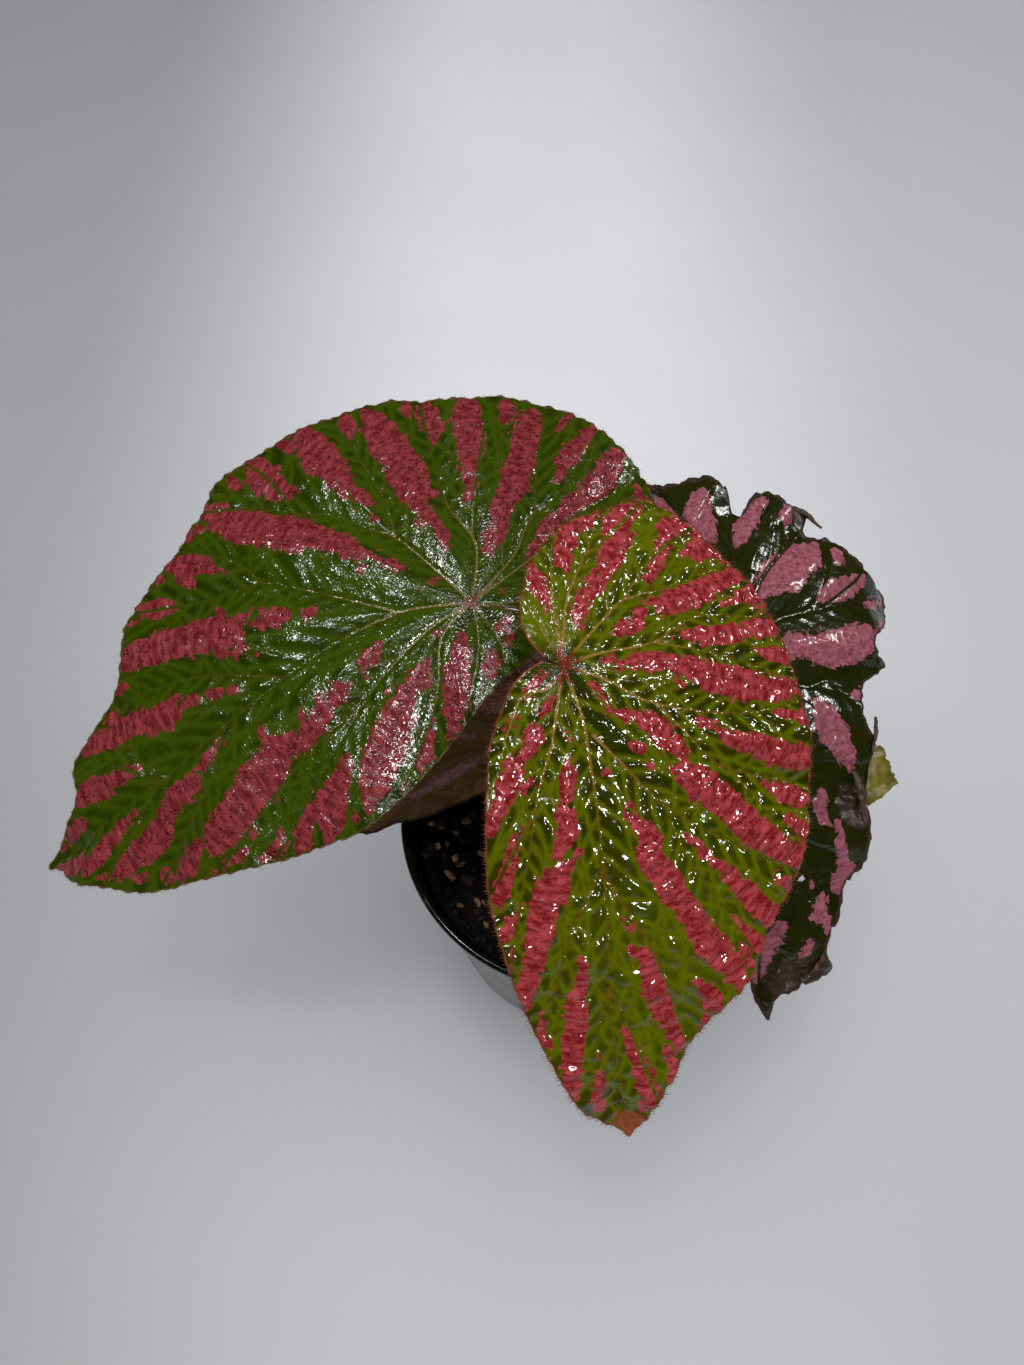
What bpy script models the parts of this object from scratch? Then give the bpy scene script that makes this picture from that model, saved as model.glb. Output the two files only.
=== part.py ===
import math
import random

import bmesh
import bpy
import numpy as np
from mathutils import Matrix, Vector, noise

MM = 0.001
SEED = 11

# Sizes in millimetres, angles in degrees
POT_HEIGHT = 104.0
POT_RIM_RADIUS = 64.0
POT_STEPS = 56
LIP_RADIUS = 1.4
WALL = 1.5
FLOOR = 1.8
WALL_TOP = (61.8, 100.4)
WALL_FOOT = (46.4, 2.6)
DRAIN_HOLES = 8
DRAIN_HOLE_RADIUS = 4.5
DRAIN_RING_RADIUS = 33.0
SEAT_GAP = 0.35

SOIL_TOP = 91.0
SOIL_LUMPS = 1.5
SOIL_AROUND = 44
SOIL_RINGS = 8
CHIPS = 16

STEM_CENTRE = (2.0, 7.0)
STEM_FOOT = 56.0
STEM_RADIUS = 5.2
STEM_HOLE_RADIUS = 5.7

BLADE_THICKNESS = 0.8
BLADE_AROUND = 76
BLADE_RINGS = 6
PLEAT_DEPTH = 1.7
PLEAT_WIDTH = 7.0

STIPULE_THICKNESS = 0.7


def srgb(red, green, blue):
    """Linear colour from 0 to 255 screen values."""
    linear = []
    for value in (red, green, blue):
        share = value / 255
        linear.append(share / 12.92 if share < 0.04045 else ((share + 0.055) / 1.055) ** 2.4)
    return (*linear, 1.0)


def material(name, colour, roughness):
    made = bpy.data.materials.new(name)
    made.use_nodes = True
    principled = made.node_tree.nodes["Principled BSDF"]
    principled.inputs["Base Color"].default_value = colour
    principled.inputs["Roughness"].default_value = roughness
    principled.inputs["Metallic"].default_value = 0.0
    made.diffuse_color = colour
    return made


def add_object(name, data, collection, slot=None):
    obj = bpy.data.objects.new(name, data)
    collection.objects.link(obj)
    if slot:
        data.materials.append(slot)
    return obj


def mesh_object(name, shape, collection, slot=None, smooth=True):
    """An object from a bmesh, with its faces turned outwards."""
    bmesh.ops.recalc_face_normals(shape, faces=shape.faces)
    mesh = bpy.data.meshes.new(name)
    shape.to_mesh(mesh)
    shape.free()
    for face in mesh.polygons:
        face.use_smooth = smooth
    return add_object(name, mesh, collection, slot)


def cutter(name, shape):
    obj = mesh_object(name, shape, cutters)
    obj.hide_render = True
    obj.display_type = "WIRE"
    return obj


def boolean(obj, other, operation):
    modifier = obj.modifiers.new(other.name, "BOOLEAN")
    modifier.operation = operation
    modifier.solver = "EXACT"
    modifier.object = other


def upright_cylinder(shape, centre, radius, low, high, segments=24):
    middle = Matrix.Translation((centre[0] * MM, centre[1] * MM, (low + high) / 2 * MM))
    bmesh.ops.create_cone(shape, cap_ends=True, segments=segments, radius1=radius * MM,
                          radius2=radius * MM, depth=(high - low) * MM, matrix=middle)


def wall_radius(height):
    """Outside radius of the tapered pot wall at a height."""
    share = (height - WALL_FOOT[1]) / (WALL_TOP[1] - WALL_FOOT[1])
    return WALL_FOOT[0] + share * (WALL_TOP[0] - WALL_FOOT[0])


# Pot: one turned profile, with round drain holes cut through its floor
def pot_profile():
    points = [(0, FLOOR), (wall_radius(FLOOR) - WALL - 1.4, FLOOR)]
    points.append((wall_radius(FLOOR + 1.2) - WALL, FLOOR + 1.4))
    points.append((wall_radius(50) - WALL, 50))
    points.append((WALL_TOP[0] - WALL, WALL_TOP[1] - 0.6))
    lip = (POT_RIM_RADIUS - LIP_RADIUS, POT_HEIGHT - LIP_RADIUS)
    for degrees in range(180, -91, -30):
        turn = math.radians(degrees)
        points.append((lip[0] + LIP_RADIUS * math.cos(turn), lip[1] + LIP_RADIUS * math.sin(turn)))
    points.append(WALL_TOP)
    points.append((wall_radius(50), 50))
    points.append(WALL_FOOT)
    points += [(45.7, 0.8), (44.4, 0), (0, 0)]
    return points


def build_pot():
    points = pot_profile()
    mesh = bpy.data.meshes.new("pot")
    edges = [(i, i + 1) for i in range(len(points) - 1)]
    mesh.from_pydata([(radius * MM, 0, height * MM) for radius, height in points], edges, [])
    pot = add_object("pot", mesh, model, material("pot_plastic", srgb(14, 14, 16), 0.12))
    screw = pot.modifiers.new("turn", "SCREW")
    screw.steps = POT_STEPS
    screw.render_steps = POT_STEPS
    screw.use_merge_vertices = True
    screw.merge_threshold = 0.00005
    screw.use_smooth_shade = True
    holes = bmesh.new()
    for index in range(DRAIN_HOLES):
        turn = 2 * math.pi * (index + 0.5) / DRAIN_HOLES
        centre = (DRAIN_RING_RADIUS * math.cos(turn), DRAIN_RING_RADIUS * math.sin(turn))
        upright_cylinder(holes, centre, DRAIN_HOLE_RADIUS, -2, FLOOR + 2, 20)
    boolean(pot, cutter("drain_holes", holes), "DIFFERENCE")
    return pot


# Potting mix: a lumpy top with bark chips fused to it and a plain hole for the stem
def soil_height(x, y):
    """Height of the lumpy top over a point of the pot."""
    coarse = noise.noise(Vector((x / 17, y / 17, 3.1)))
    fine = noise.noise(Vector((x / 6, y / 6, 8.4)))
    mound = 2.5 * math.exp(-(math.hypot(x - STEM_CENTRE[0], y - STEM_CENTRE[1]) / 20) ** 2)
    return SOIL_TOP + SOIL_LUMPS * (coarse + 0.6 * fine) + mound


def build_soil():
    low = FLOOR + SEAT_GAP
    shape = bmesh.new()
    rings = []
    outlines = [(wall_radius(low) - WALL - 1.4 - SEAT_GAP, low)]
    outlines.append((wall_radius(low + 2) - WALL - SEAT_GAP, low + 2))
    for radius, height in outlines:
        rings.append([(radius, height)] * SOIL_AROUND)
    top_radius = wall_radius(SOIL_TOP - 3) - WALL - SEAT_GAP
    rings.append([(top_radius, SOIL_TOP - 3)] * SOIL_AROUND)
    for ring in range(SOIL_RINGS):
        radius = (top_radius - 0.8) * (1 - ring / SOIL_RINGS)
        rings.append([(radius, None)] * SOIL_AROUND)
    corners = []
    for ring in rings:
        row = []
        for index, (radius, height) in enumerate(ring):
            turn = 2 * math.pi * index / SOIL_AROUND
            x = radius * math.cos(turn)
            y = radius * math.sin(turn)
            z = soil_height(x, y) if height is None else height
            row.append(shape.verts.new((x * MM, y * MM, z * MM)))
        corners.append(row)
    for below, above in zip(corners, corners[1:]):
        for index in range(SOIL_AROUND):
            after = (index + 1) % SOIL_AROUND
            shape.faces.new((below[index], below[after], above[after], above[index]))
    shape.faces.new(corners[0])
    peak = shape.verts.new((0, 0, soil_height(0, 0) * MM))
    for index in range(SOIL_AROUND):
        shape.faces.new((corners[-1][index], corners[-1][(index + 1) % SOIL_AROUND], peak))
    soil = mesh_object("soil", shape, model, material("potting_mix", srgb(34, 24, 17), 0.9))
    boolean(soil, cutter("chips", chip_shapes()), "UNION")
    hole = bmesh.new()
    upright_cylinder(hole, STEM_CENTRE, STEM_HOLE_RADIUS, STEM_FOOT - SEAT_GAP, SOIL_TOP + 20, 32)
    boolean(soil, cutter("stem_hole", hole), "DIFFERENCE")
    return soil


def chip_shapes():
    """Tilted slabs and lumps half sunk into the top of the mix, clear of each other."""
    shape = bmesh.new()
    placed = []
    while len(placed) < CHIPS:
        turn = random.uniform(0, 2 * math.pi)
        radius = random.uniform(14, 50)
        x = radius * math.cos(turn)
        y = radius * math.sin(turn)
        if any(math.hypot(x - other[0], y - other[1]) < 13 for other in placed):
            continue
        placed.append((x, y))
        size = (random.uniform(5, 9), random.uniform(3, 5), random.uniform(2.2, 3.4))
        place = Matrix.Translation((x * MM, y * MM, (soil_height(x, y) + 0.3) * MM))
        place @= Matrix.Rotation(random.uniform(0, math.pi), 4, "Z")
        place @= Matrix.Rotation(random.uniform(-0.35, 0.35), 4, "X")
        place @= Matrix.Rotation(random.uniform(-0.25, 0.25), 4, "Y")
        place @= Matrix.Diagonal((*[side * MM for side in size], 1.0))
        bmesh.ops.create_icosphere(shape, subdivisions=1, radius=0.55, matrix=place)
    return shape


# Stem, stalks and stipules
def tube(name, points, slot):
    """A round tapered tube through points of x, y, z and radius."""
    data = bpy.data.curves.new(name, "CURVE")
    data.dimensions = "3D"
    data.bevel_depth = MM
    data.bevel_resolution = 2
    data.use_fill_caps = True
    spline = data.splines.new("POLY")
    spline.points.add(len(points) - 1)
    for target, (x, y, z, radius) in zip(spline.points, points):
        target.co = (x * MM, y * MM, z * MM, 1)
        target.radius = radius
    spline.use_smooth = True
    return add_object(name, data, model, slot)


def stem_points():
    """The cane leans a little and swells at each old leaf joint."""
    x, y = STEM_CENTRE
    return [
        (x, y, STEM_FOOT, STEM_RADIUS), (x, y, 88, STEM_RADIUS), (x, y, 94, STEM_RADIUS),
        (x, y + 0.3, 99, 6.4), (x + 0.2, y + 0.6, 104, 5.0), (x + 0.8, y + 1.2, 111, 4.9),
        (x + 1.1, y + 1.6, 116, 6.2), (x + 1.2, y + 2.0, 121, 4.7), (x + 1.0, y + 2.8, 131, 4.5),
        (x + 0.8, y + 3.2, 136, 5.6), (x + 0.5, y + 3.5, 141, 4.2), (x + 0.2, y + 3.7, 145, 4.4),
        (x + 0.1, y + 3.8, 148, 5.0), (x, y + 3.9, 152, 3.8), (x - 0.3, y + 4.1, 158, 2.6),
        (x - 0.5, y + 4.2, 163, 1.0),
    ]


def bend(start, start_way, end, end_way, count):
    """Points along one cubic curve, given its ends and how it leaves and arrives."""
    start, end = Vector(start), Vector(end)
    first, second = start + Vector(start_way), end - Vector(end_way)
    made = []
    for index in range(count):
        t = index / (count - 1)
        point = start * (1 - t) ** 3 + first * 3 * t * (1 - t) ** 2
        made.append(point + second * 3 * t * t * (1 - t) + end * t ** 3)
    return made


def build_stalk(name, leaf, slot):
    """A petiole from its joint on the cane to the underside of its blade."""
    turn = math.radians(leaf["leaves_at"])
    out = Vector((math.cos(turn), math.sin(turn), 0.25)).normalized()
    centre = Vector(leaf["joint"])
    start = centre + out * (leaf["joint_radius"] + SEAT_GAP + 0.1)
    up = Vector(blade_axes(leaf)[2])
    end = Vector(leaf["junction"]) - up * (BLADE_THICKNESS / 2 + SEAT_GAP)
    path = bend(start, out * leaf["reach"][0], end, up * leaf["reach"][1], 12)
    points = []
    for index, point in enumerate(path):
        t = index / (len(path) - 1)
        radius = 2.7 - 0.9 * min(1, 2.5 * t) + 0.5 * max(0, 6 * t - 5)
        points.append((*point, radius))
    return tube(name, points, slot)


# Leaf blades: flat outlines about the stalk junction, bent, pleated and thickened
def arc(distance, curvature):
    """Forward and downward travel along an arc of given curvature."""
    safe = np.where(np.abs(curvature) < 1e-9, 1e-9, curvature)
    return np.sin(safe * distance) / safe, (1 - np.cos(safe * distance)) / safe


def blade_axes(leaf):
    """Unit vectors along the midvein, to the leaf's left and out of its upper face."""
    heading, pitch, roll = (math.radians(leaf[key]) for key in ("heading", "pitch", "roll"))
    along = Vector((math.cos(heading) * math.cos(pitch), math.sin(heading) * math.cos(pitch),
                    -math.sin(pitch)))
    left = Vector((-math.sin(heading), math.cos(heading), 0))
    turned = Matrix.Rotation(roll, 3, along)
    return along, turned @ left, turned @ along.cross(left)


def cross_section(leaf, v):
    """Sideways and downward travel at flat distance v from the midvein."""
    side = np.zeros_like(v)
    down = np.zeros_like(v)
    for sign, (near, start, far) in ((1, leaf["left"]), (-1, leaf["right"])):
        reach = np.clip(sign * v, 0, None)
        first = np.minimum(reach, start)
        near, far = math.radians(near), math.radians(far)
        y, z = arc(first, near)
        further, drop = arc(reach - first, far)
        turn = near * start
        y = y + further * math.cos(turn) - drop * math.sin(turn)
        z = z + further * math.sin(turn) + drop * math.cos(turn)
        chosen = sign * v > 0
        side = np.where(chosen, sign * y, side)
        down = np.where(chosen, z, down)
    return side, down


def place_blade(leaf, u, v, lift):
    """Flat u, v and lift off the blade, in millimetres, to points of the plant."""
    droop = np.radians(np.where(u > 0, leaf["droop"][0], leaf["droop"][1]))
    x, fall = arc(u, droop)
    side, down = cross_section(leaf, v)
    turn = droop * u
    height = lift - down
    x = x + height * np.sin(turn)
    z = height * np.cos(turn) - fall
    along, left, up = (np.array(axis) for axis in blade_axes(leaf))
    base = np.array(leaf["junction"])
    return base + x[..., None] * along + side[..., None] * left + z[..., None] * up


def margin_points(leaf, count):
    """A smooth outline through the leaf's angle and radius pairs, evenly spaced along its edge."""
    angle = np.radians([pair[0] for pair in leaf["margin"]])
    radius = np.array([pair[1] for pair in leaf["margin"]], float)
    knots = np.stack([radius * np.cos(angle), radius * np.sin(angle)], -1)
    padded = np.concatenate([knots[:1], knots, knots[-1:]])
    made = []
    for a, b, c, d in zip(padded, padded[1:], padded[2:], padded[3:]):
        for t in np.arange(0, 1, 0.125):
            bent = (2 * a - 5 * b + 4 * c - d) * t * t + (3 * b - a - 3 * c + d) * t ** 3
            made.append(b + 0.5 * ((c - a) * t + bent))
    made.append(knots[-1])
    made = np.array(made)
    travel = np.concatenate([[0], np.cumsum(np.hypot(*np.diff(made, axis=0).T))])
    wanted = np.linspace(0, travel[-1], count)
    return np.stack([np.interp(wanted, travel, made[:, i]) for i in (0, 1)], -1)


def vein_distance(leaf, u, v):
    """Flat distance to the nearest main vein."""
    nearest = np.full(np.shape(u), 1e6)
    for vein in leaf["veins"]:
        for (u0, v0), (u1, v1) in zip(vein, vein[1:]):
            along = np.array((u1 - u0, v1 - v0), float)
            t = np.clip(((u - u0) * along[0] + (v - v0) * along[1]) / (along @ along), 0, 1)
            nearest = np.minimum(nearest, np.hypot(u - u0 - t * along[0], v - v0 - t * along[1]))
    return nearest


def blade_lift(leaf, u, v, share, travel):
    """How far pleats between veins and waves of the margin lift the blade."""
    pleat = 1 - np.exp(-(vein_distance(leaf, u, v) / PLEAT_WIDTH) ** 2)
    near = np.clip(np.hypot(u, v) / 15, 0, 1)
    waves = np.sin(2 * np.pi * leaf["waves"][0] * travel + leaf["waves"][2])
    return PLEAT_DEPTH * pleat * near + leaf["waves"][1] * share ** 3 * waves * near


def build_blade(name, leaf, slot):
    edge = margin_points(leaf, BLADE_AROUND)
    shape = bmesh.new()
    shares = [(ring / BLADE_RINGS) ** 0.9 for ring in range(1, BLADE_RINGS + 1)]
    travel = np.linspace(0, 1, BLADE_AROUND)
    centre = shape.verts.new(Vector(leaf["junction"]) * MM)
    rings = []
    for share in shares:
        u, v = edge[:, 0] * share, edge[:, 1] * share
        lift = blade_lift(leaf, u, v, share, travel)
        points = place_blade(leaf, u, v, lift) * MM
        rings.append([shape.verts.new(point) for point in points])
    for index in range(BLADE_AROUND - 1):
        shape.faces.new((centre, rings[0][index], rings[0][index + 1]))
        for inner, outer in zip(rings, rings[1:]):
            shape.faces.new((inner[index], outer[index], outer[index + 1], inner[index + 1]))
    bmesh.ops.triangulate(shape, faces=shape.faces)
    blade = mesh_object(name, shape, model, slot)
    thicken(blade, BLADE_THICKNESS)
    return blade


def thicken(obj, thickness):
    solid = obj.modifiers.new("thickness", "SOLIDIFY")
    solid.thickness = thickness * MM
    solid.offset = 0


def build_stipule(name, spec, slot):
    """A small dry bract: a pointed sheet, curled about its length."""
    length, width, curl, lean = spec["length"], spec["width"], spec["curl"], spec["lean"]
    rows, columns = 7, 5
    shape = bmesh.new()
    grid = []
    for row in range(rows):
        t = row / (rows - 1)
        half = width / 2 * math.sin(math.pi * min(0.97, 0.25 + 0.72 * t)) ** 0.8
        line = []
        for column in range(columns):
            side = 2 * column / (columns - 1) - 1
            turn = side * curl * (0.6 + 0.4 * t)
            x = -curl * 3 * (1 - math.cos(turn)) + lean * t * t * length
            line.append(shape.verts.new(Vector((x, half * side, t * length)) * MM))
        grid.append(line)
    for low, high in zip(grid, grid[1:]):
        for index in range(columns - 1):
            shape.faces.new((low[index], low[index + 1], high[index + 1], high[index]))
    out = spec["joint_radius"] + SEAT_GAP + STIPULE_THICKNESS / 2 + 0.1
    place = Matrix.Translation(Vector(spec["joint"]) * MM)
    place @= Matrix.Rotation(math.radians(spec["turn"]), 4, "Z")
    place @= Matrix.Translation((out * MM, 0, 0))
    place @= Matrix.Rotation(math.radians(spec["tilt"]), 4, "Y")
    shape.transform(place)
    bmesh.ops.triangulate(shape, faces=shape.faces)
    stipule = mesh_object(name, shape, model, slot)
    thicken(stipule, STIPULE_THICKNESS)
    return stipule


# Outlines are angle from the midvein and distance from the junction, from one side of the
# notch round the tip to the other; veins are flat points along and across the midvein
LEAVES = {
    "front": {
        "junction": (-10, 2.6, 196), "heading": -79, "pitch": 22, "roll": 0,
        "droop": (0.22, 0.22), "left": (0.25, 30, 0.25), "right": (0.25, 30, 0.25),
        "waves": (11, 1.2, 0.4),
        "joint": (2.1, 10.8, 148), "joint_radius": 5.0, "leaves_at": 215, "reach": (12, 18),
        "colour": srgb(88, 104, 8),
        "margin": [
            (-112, 6), (-86, 12), (-71, 18), (-52, 31), (-45, 37), (-35, 52), (-27, 70),
            (-20, 87), (-15, 102), (-11, 115), (-6, 133), (-2, 141), (0, 144), (4, 133),
            (9, 122), (15, 113), (22, 108), (30, 100), (38, 96), (49, 89), (63, 81),
            (77, 74), (93, 69), (110, 64), (128, 61), (144, 58), (154, 52), (164, 46),
            (175, 39), (186, 32), (197, 25), (210, 19), (223, 12), (236, 6),
        ],
        "veins": [
            [(0, 0), (16, 3), (32, 3), (58, 2), (80, 0), (101, -2), (121, -2), (143, 0)],
            [(21, 5), (32, 13), (44, 22), (58, 39), (73, 62)],
            [(0, 0), (6, 12), (15, 25), (22, 51), (21, 74)], [(15, 25), (34, 39), (46, 65)],
            [(0, 0), (-2, 12), (-3, 28), (-9, 44), (-6, 68)],
            [(0, 0), (-13, 16), (-19, 34), (-25, 60)], [(0, 0), (-19, 5), (-32, 13), (-46, 21)],
            [(0, 0), (-20, 1), (-37, 4)], [(3, -2), (8, -14), (26, -23)],
            [(0, 0), (22, -7), (40, -15), (53, -19), (85, -29)],
            [(60, 1), (74, -9), (95, -18), (107, -21)], [(60, 2), (71, 6), (89, 14), (118, 20)],
        ],
    },
    "left": {
        "junction": (-37, 38, 178), "heading": 205.2, "pitch": 9, "roll": -14,
        "droop": (0.15, 0.15), "left": (0.15, 30, 0.15), "right": (0.15, 30, 0.15),
        "waves": (12, 1.6, 1.1),
        "joint": (2.8, 10.2, 136), "joint_radius": 5.6, "leaves_at": 150, "reach": (22, 20),
        "colour": srgb(48, 82, 6),
        "margin": [
            (-222, 7), (-213, 24), (-200, 44), (-187, 62), (-173, 71), (-165, 74), (-149, 76),
            (-136, 79), (-123, 78), (-116, 76), (-104, 79), (-95, 84), (-83, 87), (-74, 91),
            (-63, 98), (-55, 103), (-47, 102), (-35, 111), (-27, 119), (-20, 120), (-15, 126),
            (-11, 135), (-7, 144), (-3, 146), (-1, 154), (1, 164), (2, 171), (3, 166),
            (6, 160), (9, 151), (13, 141), (19, 119), (24, 106), (31, 91), (40, 76), (50, 54),
            (59, 42), (69, 34), (81, 28), (90, 24), (112, 19), (124, 13), (134, 6),
        ],
        "veins": [
            [(0, 0), (12, -5), (22, -8), (43, -9), (64, -7), (99, -1), (121, 3), (170, 7)],
            [(22, -8), (37, -22), (48, -32), (58, -40), (80, -46), (105, -56)],
            [(58, -40), (82, -69)], [(64, -7), (74, -13), (90, -22), (120, -30)],
            [(0, 0), (6, -17), (12, -32), (27, -50), (38, -58), (68, -76)],
            [(12, -32), (10, -48), (14, -87)], [(0, 0), (-8, -13), (-10, -20), (-12, -57), (-17, -78)],
            [(0, 0), (-18, -8), (-32, -20), (-38, -30), (-55, -55)],
            [(0, 0), (-26, -6), (-41, -12), (-71, -17)],
            [(0, 0), (14, 1), (30, 6), (45, 13), (62, 24), (92, 43)], [(45, 13), (71, 20), (109, 38)],
            [(0, 0), (14, 6), (24, 23), (47, 44)], [(88, -3), (103, 13), (132, 32)],
        ],
    },
    "back": {
        "junction": (53.6, 38, 158), "heading": -82.7, "pitch": 22, "roll": -8,
        "droop": (0.25, 0.3), "left": (0.2, 30, 0.95), "right": (-0.4, 10, -0.8),
        "waves": (13, 1.7, 2.0),
        "joint": (2.1, 7.3, 99), "joint_radius": 6.4, "leaves_at": 25, "reach": (30, 28),
        "colour": srgb(30, 44, 9),
        "margin": [
            (-122, 6), (-110, 11), (-90, 17), (-70, 24), (-50, 34), (-36, 48), (-26, 63),
            (-18, 80), (-12, 95), (-7, 106), (-3, 115), (-1, 126), (1, 133), (2, 124),
            (6, 123), (12, 121), (11, 111), (13, 104), (16, 100), (20, 91), (24, 88),
            (27, 83), (30, 75), (35, 67), (44, 66), (48, 57), (52, 50), (60, 47), (67, 47),
            (77, 56), (81, 50), (87, 50), (94, 60), (103, 67), (108, 61), (117, 56),
            (131, 53), (140, 47), (145, 53), (152, 54), (163, 56), (172, 46), (178, 58),
            (190, 60), (202, 62), (212, 53), (224, 33), (235, 7),
        ],
        "veins": [
            [(0, 0), (30, 1), (60, 0), (95, -2), (137, 0)], [(0, 0), (-6, 13), (-12, 57)],
            [(0, 0), (17, 17), (17, 28), (22, 46)], [(0, 0), (-20, 9), (-36, 27)],
            [(0, 0), (-25, 1), (-48, 2)], [(0, 0), (29, 16), (63, 40)],
            [(20, 1), (42, 7), (82, 15), (100, 28)], [(0, 0), (18, -8), (50, -19), (88, -22)],
            [(0, 0), (-30, -10), (-58, -18)], [(0, 0), (6, -8), (20, -24)],
        ],
    },
    "under": {
        "junction": (-14, 24, 118), "heading": 194, "pitch": 3, "roll": 2,
        "droop": (0.12, 0.2), "left": (0.3, 14, 0.5), "right": (0.2, 20, 0.3),
        "waves": (8, 1.1, 0.6),
        "joint": (2.2, 7.6, 104), "joint_radius": 5.6, "leaves_at": 130, "reach": (12, 8),
        "colour": srgb(74, 52, 22),
        "margin": [
            (-224, 5), (-212, 14), (-198, 25), (-180, 32), (-160, 36), (-135, 40), (-110, 44),
            (-85, 48), (-62, 52), (-42, 56), (-26, 62), (-14, 69), (-5, 78), (0, 87),
            (5, 84), (12, 77), (17, 69), (19, 61), (22, 52), (26, 41), (36, 30), (52, 23),
            (75, 17), (100, 11), (128, 5),
        ],
        "veins": [
            [(0, 0), (25, -1), (50, 1), (78, 0)], [(0, 0), (22, -14), (46, -30)],
            [(0, 0), (5, -18), (10, -41)], [(0, 0), (-10, -14), (-20, -30)],
            [(0, 0), (-16, -4), (-30, -5)], [(0, 0), (20, 8), (42, 18)], [(0, 0), (8, 10), (16, 22)],
        ],
    },
}

STIPULES = {
    "stipule_low": {"joint": (2.1, 7.3, 99), "joint_radius": 6.4, "turn": 215, "tilt": 16,
                    "length": 22, "width": 9, "curl": 0.8, "lean": 0.10},
    "stipule_side": {"joint": (2.1, 7.3, 99), "joint_radius": 6.4, "turn": 300, "tilt": 14,
                     "length": 18, "width": 8, "curl": 0.8, "lean": 0.12},
    "stipule_top": {"joint": (2.8, 10.2, 136), "joint_radius": 5.6, "turn": -30, "tilt": 10,
                    "length": 20, "width": 7, "curl": 0.8, "lean": 0.08},
}

for old in list(bpy.data.objects):
    bpy.data.objects.remove(old)
random.seed(SEED)
model = bpy.data.collections.new("potted_begonia")
cutters = bpy.data.collections.new("cutters")
bpy.context.scene.collection.children.link(model)
bpy.context.scene.collection.children.link(cutters)

build_pot()
build_soil()
tube("stem", stem_points(), material("cane", srgb(92, 66, 40), 0.7))
for label, leaf in LEAVES.items():
    build_blade("leaf_" + label, leaf, material("blade_" + label, leaf["colour"], 0.3))
    stalk = material("stalk_" + label, srgb(122, 62, 34), 0.45)
    build_stalk("petiole_" + label, leaf, stalk)
for label, spec in STIPULES.items():
    build_stipule(label, spec, material(label + "_bract", srgb(132, 92, 74), 0.8))
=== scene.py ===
import math
import random

import bmesh
import bpy
import numpy as np
from mathutils import Matrix, Vector, noise
from mathutils.geometry import delaunay_2d_cdt
from mathutils.kdtree import KDTree


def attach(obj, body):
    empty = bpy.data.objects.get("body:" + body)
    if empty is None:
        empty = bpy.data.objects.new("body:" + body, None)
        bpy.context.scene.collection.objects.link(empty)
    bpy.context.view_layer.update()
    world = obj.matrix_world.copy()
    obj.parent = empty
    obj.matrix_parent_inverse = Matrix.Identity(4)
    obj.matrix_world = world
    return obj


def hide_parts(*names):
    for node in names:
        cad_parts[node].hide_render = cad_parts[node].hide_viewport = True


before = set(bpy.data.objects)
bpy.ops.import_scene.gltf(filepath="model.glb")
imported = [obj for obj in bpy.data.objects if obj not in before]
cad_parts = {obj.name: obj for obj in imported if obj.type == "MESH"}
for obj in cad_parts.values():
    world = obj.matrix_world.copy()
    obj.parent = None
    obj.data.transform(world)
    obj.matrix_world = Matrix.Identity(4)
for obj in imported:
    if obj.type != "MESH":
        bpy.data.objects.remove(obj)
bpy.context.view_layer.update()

MM = 0.001
SEED = 11

# Pot and soil, in millimetres, as in the CAD
POT_HEIGHT = 104.0
POT_RIM_RADIUS = 64.0
LIP_RADIUS = 1.4
WALL = 1.5
FLOOR = 1.8
WALL_TOP = (61.8, 100.4)
WALL_FOOT = (46.4, 2.6)
DRAIN_HOLES = 8
DRAIN_HOLE_RADIUS = 4.5
DRAIN_RING_RADIUS = 33.0
SEAT_GAP = 0.35
SOIL_TOP = 91.0
SOIL_LUMPS = 1.5
SOIL_CRUMBS = [(0.9, 2.6, 1.7), (0.5, 1.1, 5.2)]
CHIPS = 16
CHIP_SPACING = 13
STEM_CENTRE = (2.0, 7.0)
STEM_RADIUS = 5.2
STEM_FOOT = 56.0
STEM_HOLE_RADIUS = 5.7

# Loose grains: kind, how many, shortest and longest
LOOSE_GRAINS = [
    ("bark", 90, 1.5, 4.5), ("peat", 420, 1.2, 3.6), ("tan", 26, 1.2, 3.0), ("grit", 12, 0.8, 1.8),
]
GRAIN_REACH = 56

# Tan chips the photo shows by the pot's wall: x, y and length
SEEN_CHIPS = [
    (-41.5, 14.8, 3.2), (-53.6, 1.4, 3.4), (-49.9, -0.2, 2.6), (-41.2, 2.2, 3.6), (-44.8, -2.2, 2.8),
    (-51.1, -7.7, 3.0), (-47.9, -6.9, 2.4), (-35.5, -10.4, 3.0), (-44.8, -12.3, 3.4),
    (-46.4, -18.8, 5.0), (-42.3, -14.6, 2.6), (-42.6, -30.0, 2.8), (-36.3, -29.2, 3.4),
    (-34.2, -28.9, 2.2), (-33.4, -37.2, 3.0),
]

# Cane, in millimetres: sideways steps from the stem's centre, height and radius
CANE = [
    (0, 0, STEM_FOOT, STEM_RADIUS), (0, 0, 88, STEM_RADIUS), (0, 0, 94, STEM_RADIUS),
    (0, 0.3, 99, 6.4), (0.2, 0.6, 104, 5.0), (0.8, 1.2, 111, 4.9), (1.1, 1.6, 116, 6.2),
    (1.2, 2.0, 121, 4.7), (1.0, 2.8, 131, 4.5), (0.8, 3.2, 136, 5.6), (0.5, 3.5, 141, 4.2),
    (0.2, 3.7, 145, 4.4), (0.1, 3.8, 148, 5.0), (0, 3.9, 152, 3.8), (-0.3, 4.1, 158, 2.6),
    (-0.5, 4.2, 163, 1.0),
]
BARE_CANE = 92.0

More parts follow.
